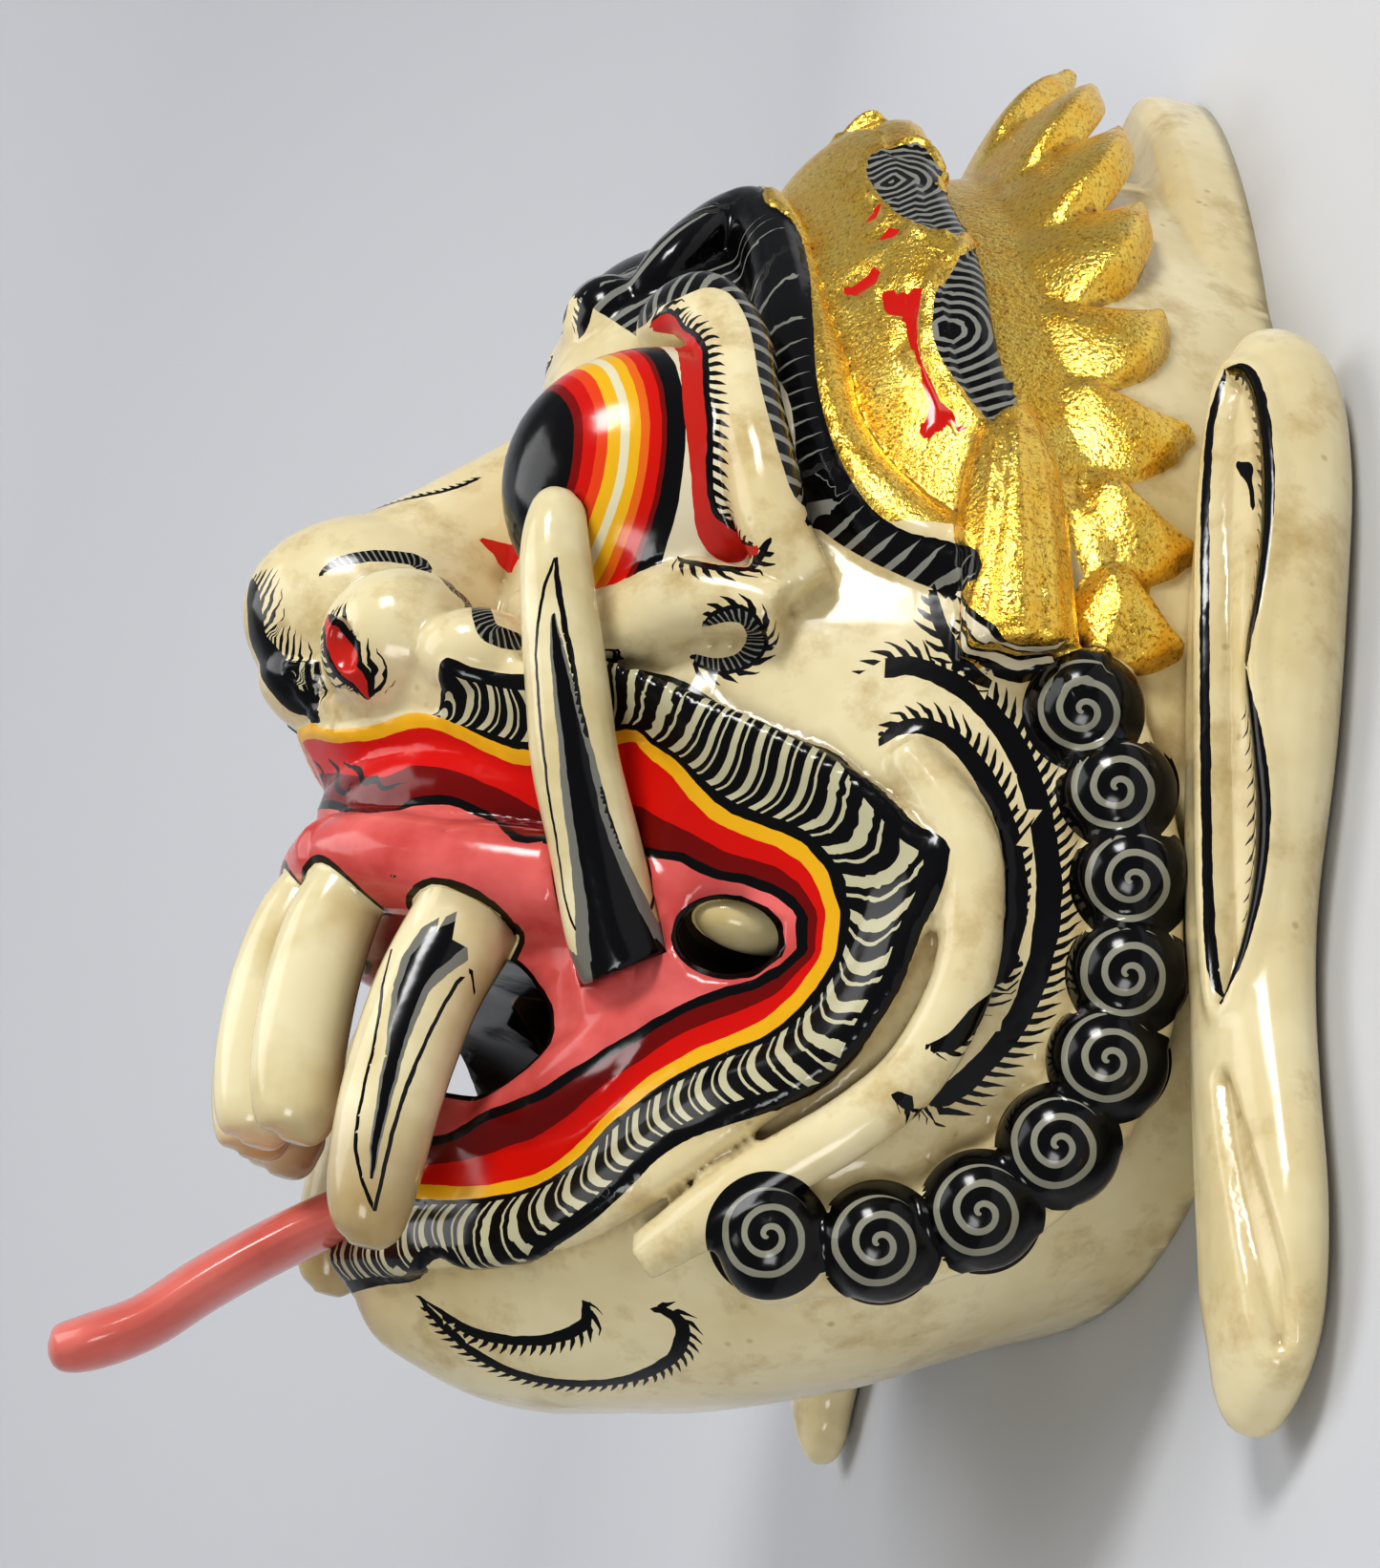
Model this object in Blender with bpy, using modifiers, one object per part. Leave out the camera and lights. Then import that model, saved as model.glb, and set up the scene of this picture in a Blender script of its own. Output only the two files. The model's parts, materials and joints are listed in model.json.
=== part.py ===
# Rangda mask: a carved wooden mask, hollow behind, lying on its back rim.
# X is across the face, Y runs up the face to the crown, Z is forward from the rim.
# The carved forms are written in shares: one share is 1/312 of the mask's height.

import bpy
import bmesh
import math
from mathutils import Vector

# Driving dimensions, in metres
MASK_HEIGHT = 0.312
WALL = 0.013
SEAM_GAP = 0.0004
TUSK_DIAMETER = 0.0160
FANG_DIAMETER = 0.0170
TONGUE_THICKNESS = 0.0080
TONGUE_WIDTH = 0.030
CURL_DIAMETER = 0.0180

SHARE = MASK_HEIGHT / 312.0
CARVING_GRAIN = 1.9 * SHARE
HEAD_FACES = 6600

# Slices of the head: height, half width, top, bottom, and how square it is above and below
SKULL = (
    (-6, 88, 128, -115, 1.5, 3.0),
    (0, 88, 130, -117, 1.5, 3.0),
    (12, 89, 130, -122, 1.5, 3.0),
    (24, 90, 128, -128, 1.5, 2.9),
    (36, 89, 125, -134, 1.5, 2.9),
    (56, 84, 117, -141, 1.5, 2.9),
    (70, 77, 111, -144, 1.5, 2.7),
    (85, 68, 102, -147, 1.5, 2.5),
    (98, 59, 94, -147, 1.5, 2.3),
    (110, 47, 85, -144, 1.6, 2.1),
    (119, 35, 77, -140, 1.7, 2.0),
    (125, 21, 66, -131, 1.8, 2.0),
    (127, 8, 50, -118, 2.0, 2.0),
)
WIDEST_AT = -20
FRONT_WALLS = 1.6
CROWN_WALLS = 1.5
NARROWEST = 5

# Lips: outer edge of the painted band, crest of the lip, and inner edge, from nose to chin
LIPS = (
    ((0, -33, 150), (0, -36, 156), (0, -50, 147)),
    ((20, -33, 147), (16, -40, 149), (16, -52, 140)),
    ((38, -31, 134), (31, -40, 137), (29, -57, 126)),
    ((48, -30, 121), (42, -44, 121), (41, -60, 111)),
    ((57, -31, 109), (53, -42, 102), (52, -58, 96)),
    ((69, -38, 89), (61, -53, 88), (57, -59, 88)),
    ((78, -46, 71), (68, -58, 75), (61, -62, 78)),
    ((85, -58, 54), (73, -67, 67), (63, -68, 71)),
    ((84, -76, 56), (72, -76, 66), (62, -75, 71)),
    ((79, -91, 61), (67, -87, 71), (59, -82, 78)),
    ((70, -104, 72), (60, -95, 82), (55, -90, 86)),
    ((60, -114, 81), (51, -107, 92), (48, -100, 96)),
    ((47, -125, 94), (41, -115, 102), (39, -105, 105)),
    ((28, -130, 110), (25, -118, 116), (25, -109, 117)),
    ((0, -131, 123), (0, -119, 127), (0, -110, 124)),
)
LIP_HEART = (0, -78, 60)


def metres(values):
    return [value * SHARE for value in values]


def material(name, colour, roughness, metallic=0.0):
    made = bpy.data.materials.new(name)
    made.use_nodes = True
    shader = made.node_tree.nodes["Principled BSDF"]
    shader.inputs["Base Color"].default_value = (*colour, 1.0)
    shader.inputs["Roughness"].default_value = roughness
    shader.inputs["Metallic"].default_value = metallic
    made.diffuse_color = (*colour, 1.0)
    return made


def new_collection(name):
    made = bpy.data.collections.new(name)
    bpy.context.scene.collection.children.link(made)
    return made


def new_object(name, bm, collection):
    bmesh.ops.recalc_face_normals(bm, faces=bm.faces)
    mesh = bpy.data.meshes.new(name)
    bm.to_mesh(mesh)
    bm.free()
    made = bpy.data.objects.new(name, mesh)
    collection.objects.link(made)
    return made


def skin_rings(bm, rings):
    """Join rings of vertices one to the next and close both ends."""
    edges = []
    for ring in rings:
        for here, after in zip(ring, ring[1:] + ring[:1]):
            edges.append(bm.edges.new((here, after)))
    bmesh.ops.bridge_loops(bm, edges=edges)
    for ring in (rings[0], rings[-1]):
        bm.faces.new(ring)


def smooth_route(rows, steps):
    """Read a smooth curve through rows of equal length, steps times a row."""
    rows = [Vector(row) for row in rows]
    out = []
    for index in range(len(rows) - 1):
        before = rows[max(index - 1, 0)]
        start, end = rows[index], rows[index + 1]
        after = rows[min(index + 2, len(rows) - 1)]
        for step in range(steps):
            t = step / steps
            a = -0.5 * before + 1.5 * start - 1.5 * end + 0.5 * after
            b = before - 2.5 * start + 2.0 * end - 0.5 * after
            c = 0.5 * end - 0.5 * before
            out.append(a * t ** 3 + b * t ** 2 + c * t + start)
    out.append(rows[-1])
    return out


def sweep(bm, rows, rise, steps=3, sides=12, extra=0.0):
    """A solid along rows of (x, y, z, half width, half depth); rise points out of the face."""
    path = smooth_route(rows, steps)
    rings = []
    for index, row in enumerate(path):
        here = Vector(row[:3])
        ahead = Vector(path[min(index + 1, len(path) - 1)][:3])
        behind = Vector(path[max(index - 1, 0)][:3])
        along = (ahead - behind).normalized()
        across = along.cross(Vector(rise)).normalized()
        out = across.cross(along)
        width = row[3] + extra
        depth = row[4] + extra
        ring = []
        for side in range(sides):
            turn = 2 * math.pi * side / sides
            place = here + across * width * math.cos(turn) + out * depth * math.sin(turn)
            ring.append(bm.verts.new(metres(place)))
        rings.append(ring)
    skin_rings(bm, rings)


def blob(bm, centre, radii, sides=24):
    """An ellipsoid, as a carver rounds a block."""
    made = bmesh.ops.create_uvsphere(bm, u_segments=sides, v_segments=sides // 2, radius=1.0)
    for vertex in made["verts"]:
        spot = [centre[axis] + vertex.co[axis] * radii[axis] for axis in range(3)]
        vertex.co = metres(spot)


def slice_ring(bm, level, half_width, top, bottom, power_top, power_bottom, middle, sides):
    """One level outline of the head: rounder or squarer above and below its widest line."""
    ring = []
    for side in range(sides):
        turn = 2 * math.pi * side / sides
        cosine, sine = math.cos(turn), math.sin(turn)
        power = power_top if sine >= 0 else power_bottom
        reach = (abs(cosine) ** power + abs(sine) ** power) ** (-1.0 / power)
        height = (top - middle) if sine >= 0 else (middle - bottom)
        place = (half_width * cosine * reach, middle + height * sine * reach, level)
        ring.append(bm.verts.new(metres(place)))
    return ring


def skull_form(bm, inset=0.0, sides=64):
    """The mass of the head or, with an inset of one wall, the hollow behind the face."""
    rings = []
    for level, half_width, top, bottom, power_top, power_bottom in SKULL:
        depth = level - inset * (FRONT_WALLS if level > 0 else 1)
        size = max(half_width - inset, NARROWEST)
        upper = max(top - inset * CROWN_WALLS, WIDEST_AT + NARROWEST)
        lower = min(bottom + inset, WIDEST_AT - NARROWEST)
        rings.append(slice_ring(bm, depth, size, upper, lower, power_top, power_bottom, WIDEST_AT, sides))
    skin_rings(bm, rings)


def lip_form(bm):
    """Half of the flared lips: a closed section carried round the mouth."""
    stations = [
        [value for point in row for value in point] for row in LIPS
    ]
    rings = []
    heart = Vector(LIP_HEART)
    for row in smooth_route(stations, 3):
        outer, crest, inner = (Vector(row[start:start + 3]) for start in (0, 3, 6))
        roll = (outer + crest) / 2
        slope = (crest + inner) / 2
        outward = (roll - heart).normalized()
        sunk = 12 * outward
        section = (
            outer - sunk,
            outer,
            outer * 0.6 + crest * 0.4 + outward * 5.0,
            outer * 0.25 + crest * 0.75 + outward * 3.5,
            crest + outward * 1.0,
            slope + outward * 0.5,
            inner,
            inner - sunk,
        )
        rings.append([bm.verts.new(metres(place)) for place in section])
    skin_rings(bm, rings)


def apply_modifiers(made):
    bpy.context.view_layer.update()
    graph = bpy.context.evaluated_depsgraph_get()
    mesh = bpy.data.meshes.new_from_object(made.evaluated_get(graph))
    made.modifiers.clear()
    old = made.data
    made.data = mesh
    bpy.data.meshes.remove(old)


def mirrored(made):
    mirror = made.modifiers.new("other side", "MIRROR")
    mirror.use_axis = (True, False, False)
    mirror.use_mirror_merge = False
    apply_modifiers(made)


def fuse(made, grain, rounds):
    """Carve the overlapping forms into one skin and rub it smooth."""
    remesh = made.modifiers.new("one skin", "REMESH")
    remesh.mode = "VOXEL"
    remesh.voxel_size = grain
    smooth = made.modifiers.new("rub down", "SMOOTH")
    smooth.factor = 0.5
    smooth.iterations = rounds
    apply_modifiers(made)


def cut(made, cutter):
    boolean = made.modifiers.new("cut " + cutter.name, "BOOLEAN")
    boolean.operation = "DIFFERENCE"
    boolean.solver = "EXACT"
    boolean.object = cutter
    apply_modifiers(made)


def thin_out(made, faces):
    made.data.calc_loop_triangles()
    count = len(made.data.loop_triangles)
    if count > faces:
        decimate = made.modifiers.new("facets", "DECIMATE")
        decimate.ratio = faces / count
        decimate.use_collapse_triangulate = True
        apply_modifiers(made)


def keep_largest(made):
    """Drop loose crumbs, so that the piece is one solid."""
    bm = bmesh.new()
    bm.from_mesh(made.data)
    left = set(bm.verts)
    groups = []
    while left:
        stack = [left.pop()]
        group = set(stack)
        while stack:
            for edge in stack.pop().link_edges:
                for vertex in edge.verts:
                    if vertex not in group:
                        group.add(vertex)
                        stack.append(vertex)
        left -= group
        groups.append(group)
    groups.sort(key=len)
    for group in groups[:-1]:
        bmesh.ops.delete(bm, geom=list(group), context="VERTS")
    bmesh.ops.dissolve_degenerate(bm, dist=1e-6, edges=bm.edges)
    bmesh.ops.triangulate(bm, faces=bm.faces)
    bm.to_mesh(made.data)
    bm.free()


# Forms of one side of the face, in shares

EYE_CENTRE = (46, 7, 102)
EYE_RADII = (23, 28, 31)
HOOD = (
    (30, 46, 108, 5, 5), (40, 45, 109, 6, 6), (50, 44, 105, 7, 6), (59, 33, 99, 7, 6),
    (65, 19, 96, 7, 6), (70, 5, 92, 7, 6), (72, -7, 87, 6, 6), (74, -15, 80, 4, 4),
)
BROW = (
    (18, 62, 113, 5, 4), (20, 72, 108, 7, 5), (15, 87, 99, 7, 5), (24, 80, 93, 7, 6), (36, 63, 90, 7, 6),
    (46, 46, 88, 8, 6), (55, 31, 84, 8, 6), (61, 19, 82, 8, 6), (67, 8, 77, 8, 6), (73, -1, 70, 8, 5),
    (78, -6, 62, 7, 5), (82, -9, 55, 5, 4),
)
BAG = ((30, -14, 122, 5, 5), (42, -19, 117, 7, 6), (54, -20, 107, 8, 6), (64, -18, 97, 7, 6), (72, -20, 84, 5, 5))
CHEEK_ROLL = (
    (80, -42, 62, 4, 4), (86, -55, 52, 5, 4), (87, -68, 49, 5, 4), (86, -80, 49, 5, 4), (82, -93, 53, 5, 4),
    (77, -102, 60, 5, 4), (70, -110, 69, 5, 4), (64, -117, 76, 5, 4), (55, -125, 84, 4, 3),
)
DIADEM = (
    (-12, 106, 76, 15, 6), (0, 110, 75, 16, 6), (18, 101, 77, 18, 7), (40, 72, 74, 18, 7), (54, 52, 70, 18, 7),
    (65, 29, 66, 17, 7), (74, 8, 58, 14, 6), (81, -4, 50, 9, 5),
)
DROP = ((76, 25, 51, 3, 4), (81, 14, 52, 6, 7), (86, 0, 52, 8, 8), (89, -12, 51, 8.5, 8.5), (90, -25, 49, 9, 8.5))
CURLS = (
    (89, -31, 36), (91, -44, 30), (91, -57, 26), (90, -72, 24), (88, -86, 25),
    (83, -99, 29), (77, -110, 38), (70, -117, 51), (64, -120, 65),
)
PETALS = (
    ((19, 100, 46), (25, 137, 28), 12), ((36, 80, 46), (42, 114, 25), 12), ((49, 59, 46), (58, 84, 24), 12),
    ((59, 40, 45), (71, 50, 24), 12), ((68, 23, 42), (80, 22, 23), 11), ((76, 4, 39), (87, -3, 24), 10),
    ((82, -12, 36), (91, -21, 26), 8),
)
PETAL_PROFILE = (
    (-0.3, 0.9, 6), (0, 1.05, 7), (0.3, 1.1, 8), (0.6, 1.02, 8), (0.82, 0.7, 6), (0.95, 0.34, 4), (1.0, 0.12, 2),
)
CREST = ((-6, 84, 157.5), (0, 84, 157.5), (9, 84, 157), (13, 82.5, 155), (15, 79, 150))
CREST_POWER = 1.35
TUSK = (
    (54, -80, 95), (55, -74, 99), (58, -62, 105), (60, -50, 111), (61, -38, 115), (62, -26, 119),
    (62, -15, 122), (61, -7, 123), (61, -4, 123),
)
TUSK_SWELL = (1.0, 1.0, 0.95, 0.92, 0.88, 0.82, 0.74, 0.58, 0.30)
FANG = ((37, -74, 121), (39, -88, 125), (42, -105, 127), (44, -120, 127), (44, -128, 126), (44, -131, 126))
FANG_SWELL = (1.1, 1.05, 0.98, 0.88, 0.66, 0.3)
GUM_ABOVE = (
    (-20, -63, 138, 9, 14), (0, -63, 140, 9, 14), (20, -63, 137, 9, 13), (34, -65, 124, 9, 12),
    (44, -66, 110, 9, 10), (51, -67, 98, 9, 8), (57, -66, 86, 6, 6),
)
GUM_BELOW = (
    (57, -78, 82, 6, 6), (52, -87, 89, 7, 7), (46, -96, 96, 7, 8), (37, -104, 103, 6, 8),
    (20, -109, 110, 6, 8), (0, -110, 113, 6, 8), (-20, -109, 110, 6, 8),
)
INCISORS = ((7.4, 148), (21.6, 142))
INCISOR_FORM = (
    (-62, -4, 6.0, 6.0), (-72, 0, 7.2, 7.5), (-84, 1.5, 7.6, 8.0), (-98, 1, 7.6, 8.0),
    (-108, -1, 7.2, 7.5), (-112, -2, 5.5, 5.5), (-114, -2, 2.5, 2.5),
)
TONGUE = (
    (0, -113, 112), (0, -117, 122), (0, -123, 131), (0, -130, 140), (0, -138, 149), (0, -146, 157),
    (0, -151, 165), (0, -153, 170), (0, -153.5, 171.5),
)
TONGUE_TAPER = (0.9, 1.0, 1.0, 1.0, 0.95, 0.85, 0.68, 0.45, 0.2)
EAR = (
    (89, 43, 13, 4, 5), (93, 34, 12, 9, 10), (97, 15, 12, 12, 12), (99, -10, 12, 14, 12),
    (100, -35, 11, 14, 11), (100, -58, 10, 12.5, 9.5), (102, -75, 9, 12, 8.5), (106, -92, 8.5, 13, 8),
    (111, -110, 8, 14, 7.5), (113, -124, 7.5, 12, 7), (110, -134, 6.5, 7, 5), (108, -137, 6, 3, 3),
)
MOUTH_GAP = (
    (-53, -90, 110, 4, 4), (-44, -91, 112, 8, 9), (-34, -90, 113, 12, 17), (-18, -89, 114, 12, 25),
    (0, -89, 115, 13, 27), (18, -89, 114, 12, 25), (34, -90, 113, 12, 17), (44, -91, 112, 8, 9), (53, -90, 110, 4, 4),
)
CORNER_PIT = ((62, -71, 86), (7, 8, 14))
NOSTRIL = ((33, -31, 154), (4, 6, 5))


def crest_form(bm, sides=64):
    """The plain back plate behind the gilded petals, pointed like a leaf."""
    rings = []
    for level, half_width, top in CREST:
        rings.append(slice_ring(bm, level, half_width, top, -60, CREST_POWER, 2.0, WIDEST_AT, sides))
    skin_rings(bm, rings)


def petal_form(bm, root, tip, width):
    root, tip = Vector(root), Vector(tip)
    outward = Vector((tip.x, 0.3 * (tip.y + 20), 60)).normalized()
    rows = []
    for along, wide, thick in PETAL_PROFILE:
        place = root.lerp(tip, along) + outward * 4 * math.sin(math.pi * max(0.0, min(along + 0.1, 1.0)))
        rows.append((*place, width * wide, thick))
    sweep(bm, rows, outward, 3, 12)


def side_forms(bm):
    """Everything that is carved once on each side of the head."""
    lip_form(bm)
    blob(bm, EYE_CENTRE, EYE_RADII)
    sweep(bm, HOOD, (0.5, 0.1, 0.86))
    sweep(bm, BROW, (0.4, 0.3, 0.86))
    sweep(bm, BAG, (0.5, 0, 0.86))
    sweep(bm, CHEEK_ROLL, (0.9, 0, 0.4))
    sweep(bm, DROP, (0.8, 0.3, 0.5))
    sweep(bm, GUM_ABOVE, (0.3, 0, 1))
    sweep(bm, GUM_BELOW, (0.3, 0.2, 1))
    sweep(bm, [(*place, CURL_DIAMETER / SHARE * 0.45, 4) for place in CURLS], (0.9, -0.2, 0.5))
    for place in CURLS:
        blob(bm, place, (CURL_DIAMETER / SHARE * 0.52,) * 3, 16)
    for root, tip, width in PETALS:
        petal_form(bm, root, tip, width)
    sweep(bm, DIADEM, (0.5, 0.4, 0.8))
    blob(bm, (24, -24, 142), (16, 14, 15))
    blob(bm, (38, -28, 128), (10, 9, 12), 16)
    blob(bm, (11, 58, 118), (10, 10, 9), 16)
    blob(bm, (46, -80, 91), (11, 17, 13), 16)


def middle_forms(bm):
    """What crosses the middle of the face."""
    skull_form(bm)
    crest_form(bm)
    petal_form(bm, (0, 112, 46), (0, 155, 30), 12)
    blob(bm, (0, -12, 144), (21, 22, 29))
    blob(bm, (0, -26, 146), (16, 11, 21))
    sweep(bm, ((0, 55, 116, 11, 9), (0, 30, 118, 13, 13), (0, 10, 130, 16, 17), (0, -8, 142, 19, 22)), (0, 0, 1))
    blob(bm, (0, -50, 100), (46, 24, 50))


def teeth(bm):
    for x, z in INCISORS:
        rows = [(x, y, z + lean, wide, deep) for y, lean, wide, deep in INCISOR_FORM]
        sweep(bm, rows, (0, 0, 1))
    size = FANG_DIAMETER / SHARE / 2
    rows = [(*place, size * swell, size * swell) for place, swell in zip(FANG, FANG_SWELL)]
    sweep(bm, rows, (0, 0, 1))


def tusk_rows(extra=0.0):
    size = TUSK_DIAMETER / SHARE / 2
    return [(*place, size * swell + extra, size * swell + extra) for place, swell in zip(TUSK, TUSK_SWELL)]


def tongue_rows(extra=0.0):
    wide = TONGUE_WIDTH / SHARE / 2
    thick = TONGUE_THICKNESS / SHARE / 2
    return [
        (*place, wide * taper + extra, thick * (0.5 + 0.5 * taper) + extra)
        for place, taper in zip(TONGUE, TONGUE_TAPER)
    ]


def start_bmesh(*builders):
    bm = bmesh.new()
    for builder in builders:
        builder(bm)
    return bm


def flipped(rows):
    return [(-row[0], *row[1:]) for row in rows]


def build():
    for old in list(bpy.data.objects):
        bpy.data.objects.remove(old, do_unlink=True)

    mask = new_collection("rangda mask")
    tools = new_collection("cutters")
    gap = SEAM_GAP / SHARE
    wall = WALL / SHARE

    lacquer = material("lacquered wood", (0.66, 0.60, 0.42), 0.3)
    ivory = material("ivory lacquered wood", (0.72, 0.68, 0.52), 0.25)
    rose = material("rose lacquered wood", (0.75, 0.25, 0.22), 0.3)

    head = new_object("head", start_bmesh(side_forms), mask)
    mirrored(head)
    bm = start_bmesh(middle_forms)
    bm.from_mesh(head.data)
    bm.to_mesh(head.data)
    bm.free()
    fuse(head, CARVING_GRAIN, 4)

    bm = bmesh.new()
    skull_form(bm, wall, 48)
    hollow = new_object("hollow", bm, tools)
    bm = bmesh.new()
    sweep(bm, MOUTH_GAP, (0, 0, 1))
    mouth = new_object("mouth gap", bm, tools)
    bm = bmesh.new()
    blob(bm, *CORNER_PIT, 16)
    blob(bm, *NOSTRIL, 16)
    pits = new_object("pits", bm, tools)
    mirrored(pits)
    for cutter in (mouth, pits, hollow):
        cut(head, cutter)

    bm = start_bmesh(teeth)
    row = new_object("tooth row", bm, tools)
    mirrored(row)
    bm = bmesh.new()
    bm.from_mesh(head.data)
    bm.from_mesh(row.data)
    bm.to_mesh(head.data)
    bm.free()
    fuse(head, CARVING_GRAIN, 3)
    thin_out(head, HEAD_FACES)

    for side, sign in (("left", 1), ("right", -1)):
        turn = (lambda rows: rows) if sign > 0 else flipped
        rise = (sign * 0.5, 0.0, 0.86)

        tusk = new_object("tusk_" + side, start_bmesh(lambda b: sweep(b, turn(tusk_rows()), rise, 2, 12)), mask)
        tusk.data.materials.append(ivory)
        socket = new_object(
            "socket " + side,
            start_bmesh(lambda b: sweep(b, turn(tusk_rows(gap)), rise, 2, 12)),
            tools,
        )
        ear = new_object("ear_" + side, start_bmesh(lambda b: sweep(b, turn(EAR), (0, 0, 1), 2, 12)), mask)
        ear.data.materials.append(lacquer)
        seat = new_object(
            "ear seat " + side,
            start_bmesh(lambda b: sweep(b, turn(EAR), (0, 0, 1), 2, 12, gap)),
            tools,
        )
        cut(head, socket)
        cut(head, seat)

    tongue = new_object("tongue", start_bmesh(lambda b: sweep(b, tongue_rows(), (0, 1, 0.6), 2, 12)), mask)
    tongue.data.materials.append(rose)
    slot = new_object(
        "tongue slot", start_bmesh(lambda b: sweep(b, tongue_rows(gap), (0, 1, 0.6), 2, 12)), tools
    )
    cut(head, slot)

    bm = bmesh.new()
    bmesh.ops.create_cube(bm, size=1.0)
    for vertex in bm.verts:
        vertex.co = (vertex.co + Vector((0, 0, -0.5))) * 2 * MASK_HEIGHT
    ground = new_object("below the rim", bm, tools)
    for made in list(mask.objects):
        cut(made, ground)
        keep_largest(made)
    head.data.materials.clear()
    head.data.materials.append(lacquer)

    for cutter in tools.objects:
        cutter.hide_render = True
        cutter.display_type = "WIRE"


build()
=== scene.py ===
import json
import math

import bmesh
import bpy
import numpy as np
from mathutils import Matrix, Vector
from mathutils.bvhtree import BVHTree

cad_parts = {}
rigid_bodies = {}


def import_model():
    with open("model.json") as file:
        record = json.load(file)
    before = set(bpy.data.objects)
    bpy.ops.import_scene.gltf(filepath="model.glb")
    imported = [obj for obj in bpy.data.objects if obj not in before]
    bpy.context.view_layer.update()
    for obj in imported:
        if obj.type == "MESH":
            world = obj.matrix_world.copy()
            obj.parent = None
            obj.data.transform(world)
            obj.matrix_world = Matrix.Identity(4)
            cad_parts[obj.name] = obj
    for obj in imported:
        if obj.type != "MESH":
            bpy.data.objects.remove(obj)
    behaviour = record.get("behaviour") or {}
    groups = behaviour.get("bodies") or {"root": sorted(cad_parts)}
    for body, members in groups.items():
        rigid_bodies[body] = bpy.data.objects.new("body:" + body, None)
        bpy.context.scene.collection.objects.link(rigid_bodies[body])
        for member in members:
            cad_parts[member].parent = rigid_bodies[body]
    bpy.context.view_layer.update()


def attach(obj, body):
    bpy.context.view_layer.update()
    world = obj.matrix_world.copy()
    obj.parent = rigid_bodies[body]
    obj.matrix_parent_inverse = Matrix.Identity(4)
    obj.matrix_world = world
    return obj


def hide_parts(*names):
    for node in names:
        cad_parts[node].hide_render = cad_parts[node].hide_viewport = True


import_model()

# The photograph's view: the mask lies on its back rim and is seen low over the cloth
# from its own left, a little from the chin side, with the picture turned so that the
# crown is up. Pixels below are the photograph's own, 1445 by 1642.
PHOTO_SIZE = (1445, 1642)
PHOTO_CENTRE = (722.0, 821.0)
FOCAL_PIXELS = 2415.0
EYE_DISTANCE = 0.4438
AIM = Vector((0.0, -0.0275, 0.0825))
VIEW_RIGHT = Vector((0.2128, 0.1813, -0.9601)).normalized()
VIEW_UP = Vector((0.2916, 0.9261, 0.2395)).normalized()
VIEW_BACK = VIEW_RIGHT.cross(VIEW_UP).normalized()
VIEW_UP = VIEW_BACK.cross(VIEW_RIGHT)
EYE = AIM + VIEW_BACK * EYE_DISTANCE

photo_camera = bpy.data.cameras.new("photo camera")
photo_camera.sensor_width = 36.0
photo_camera.lens = FOCAL_PIXELS / max(PHOTO_SIZE) * photo_camera.sensor_width
photo_camera.clip_start = 0.01
camera = bpy.data.objects.new("photo camera", photo_camera)
bpy.context.scene.collection.objects.link(camera)
camera.matrix_world = Matrix((
    (VIEW_RIGHT.x, VIEW_UP.x, VIEW_BACK.x, EYE.x),
    (VIEW_RIGHT.y, VIEW_UP.y, VIEW_BACK.y, EYE.y),
    (VIEW_RIGHT.z, VIEW_UP.z, VIEW_BACK.z, EYE.z),
    (0.0, 0.0, 0.0, 1.0),
))
bpy.context.scene.camera = camera


# The head is one carved block of light wood: face, crown, teeth and fangs together,
# hollowed out behind. Its forms are written in millimetres, half of the face at a time,
# and are fused into one skin as a carver's cuts run into each other.
MM = 0.001
GRAIN = 1.0
HEAD_TRIANGLES = 190000
SIDES = (("left", 1), ("right", -1))

# The hollow is the skull less a wall, which is thicker to the front and to the crown
WALL = 13
FRONT_WALLS = 1.6
CROWN_WALLS = 1.5
NARROWEST = 5

# Slices of the skull: height over the rim, half width, top, bottom and how square each half is
WIDEST_AT = -20
SKULL = (
    (-6, 88, 128, -115, 1.5, 3.0),
    (0, 88, 130, -117, 1.5, 3.0),
    (12, 89, 130, -122, 1.5, 3.0),
    (24, 90, 128, -128, 1.5, 2.9),
    (36, 89, 125, -134, 1.5, 2.9),
    (56, 84, 117, -141, 1.5, 2.9),
    (70, 77, 111, -144, 1.5, 2.7),
    (85, 68, 102, -147, 1.5, 2.5),
    (98, 59, 94, -147, 1.5, 2.3),
    (110, 47, 85, -144, 1.6, 2.1),
    (119, 35, 77, -140, 1.7, 2.0),
    (125, 21, 66, -131, 1.8, 2.0),
    (127, 8, 50, -118, 2.0, 2.0),
)

# Slices of the plain crest: height over the rim, half width and top
CREST = ((-6, 84, 157.5), (0, 84, 157.5), (9, 84, 157), (13, 82.5, 155), (15, 79, 150))
CREST_POWER = 1.35
CREST_FOOT = -60

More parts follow.
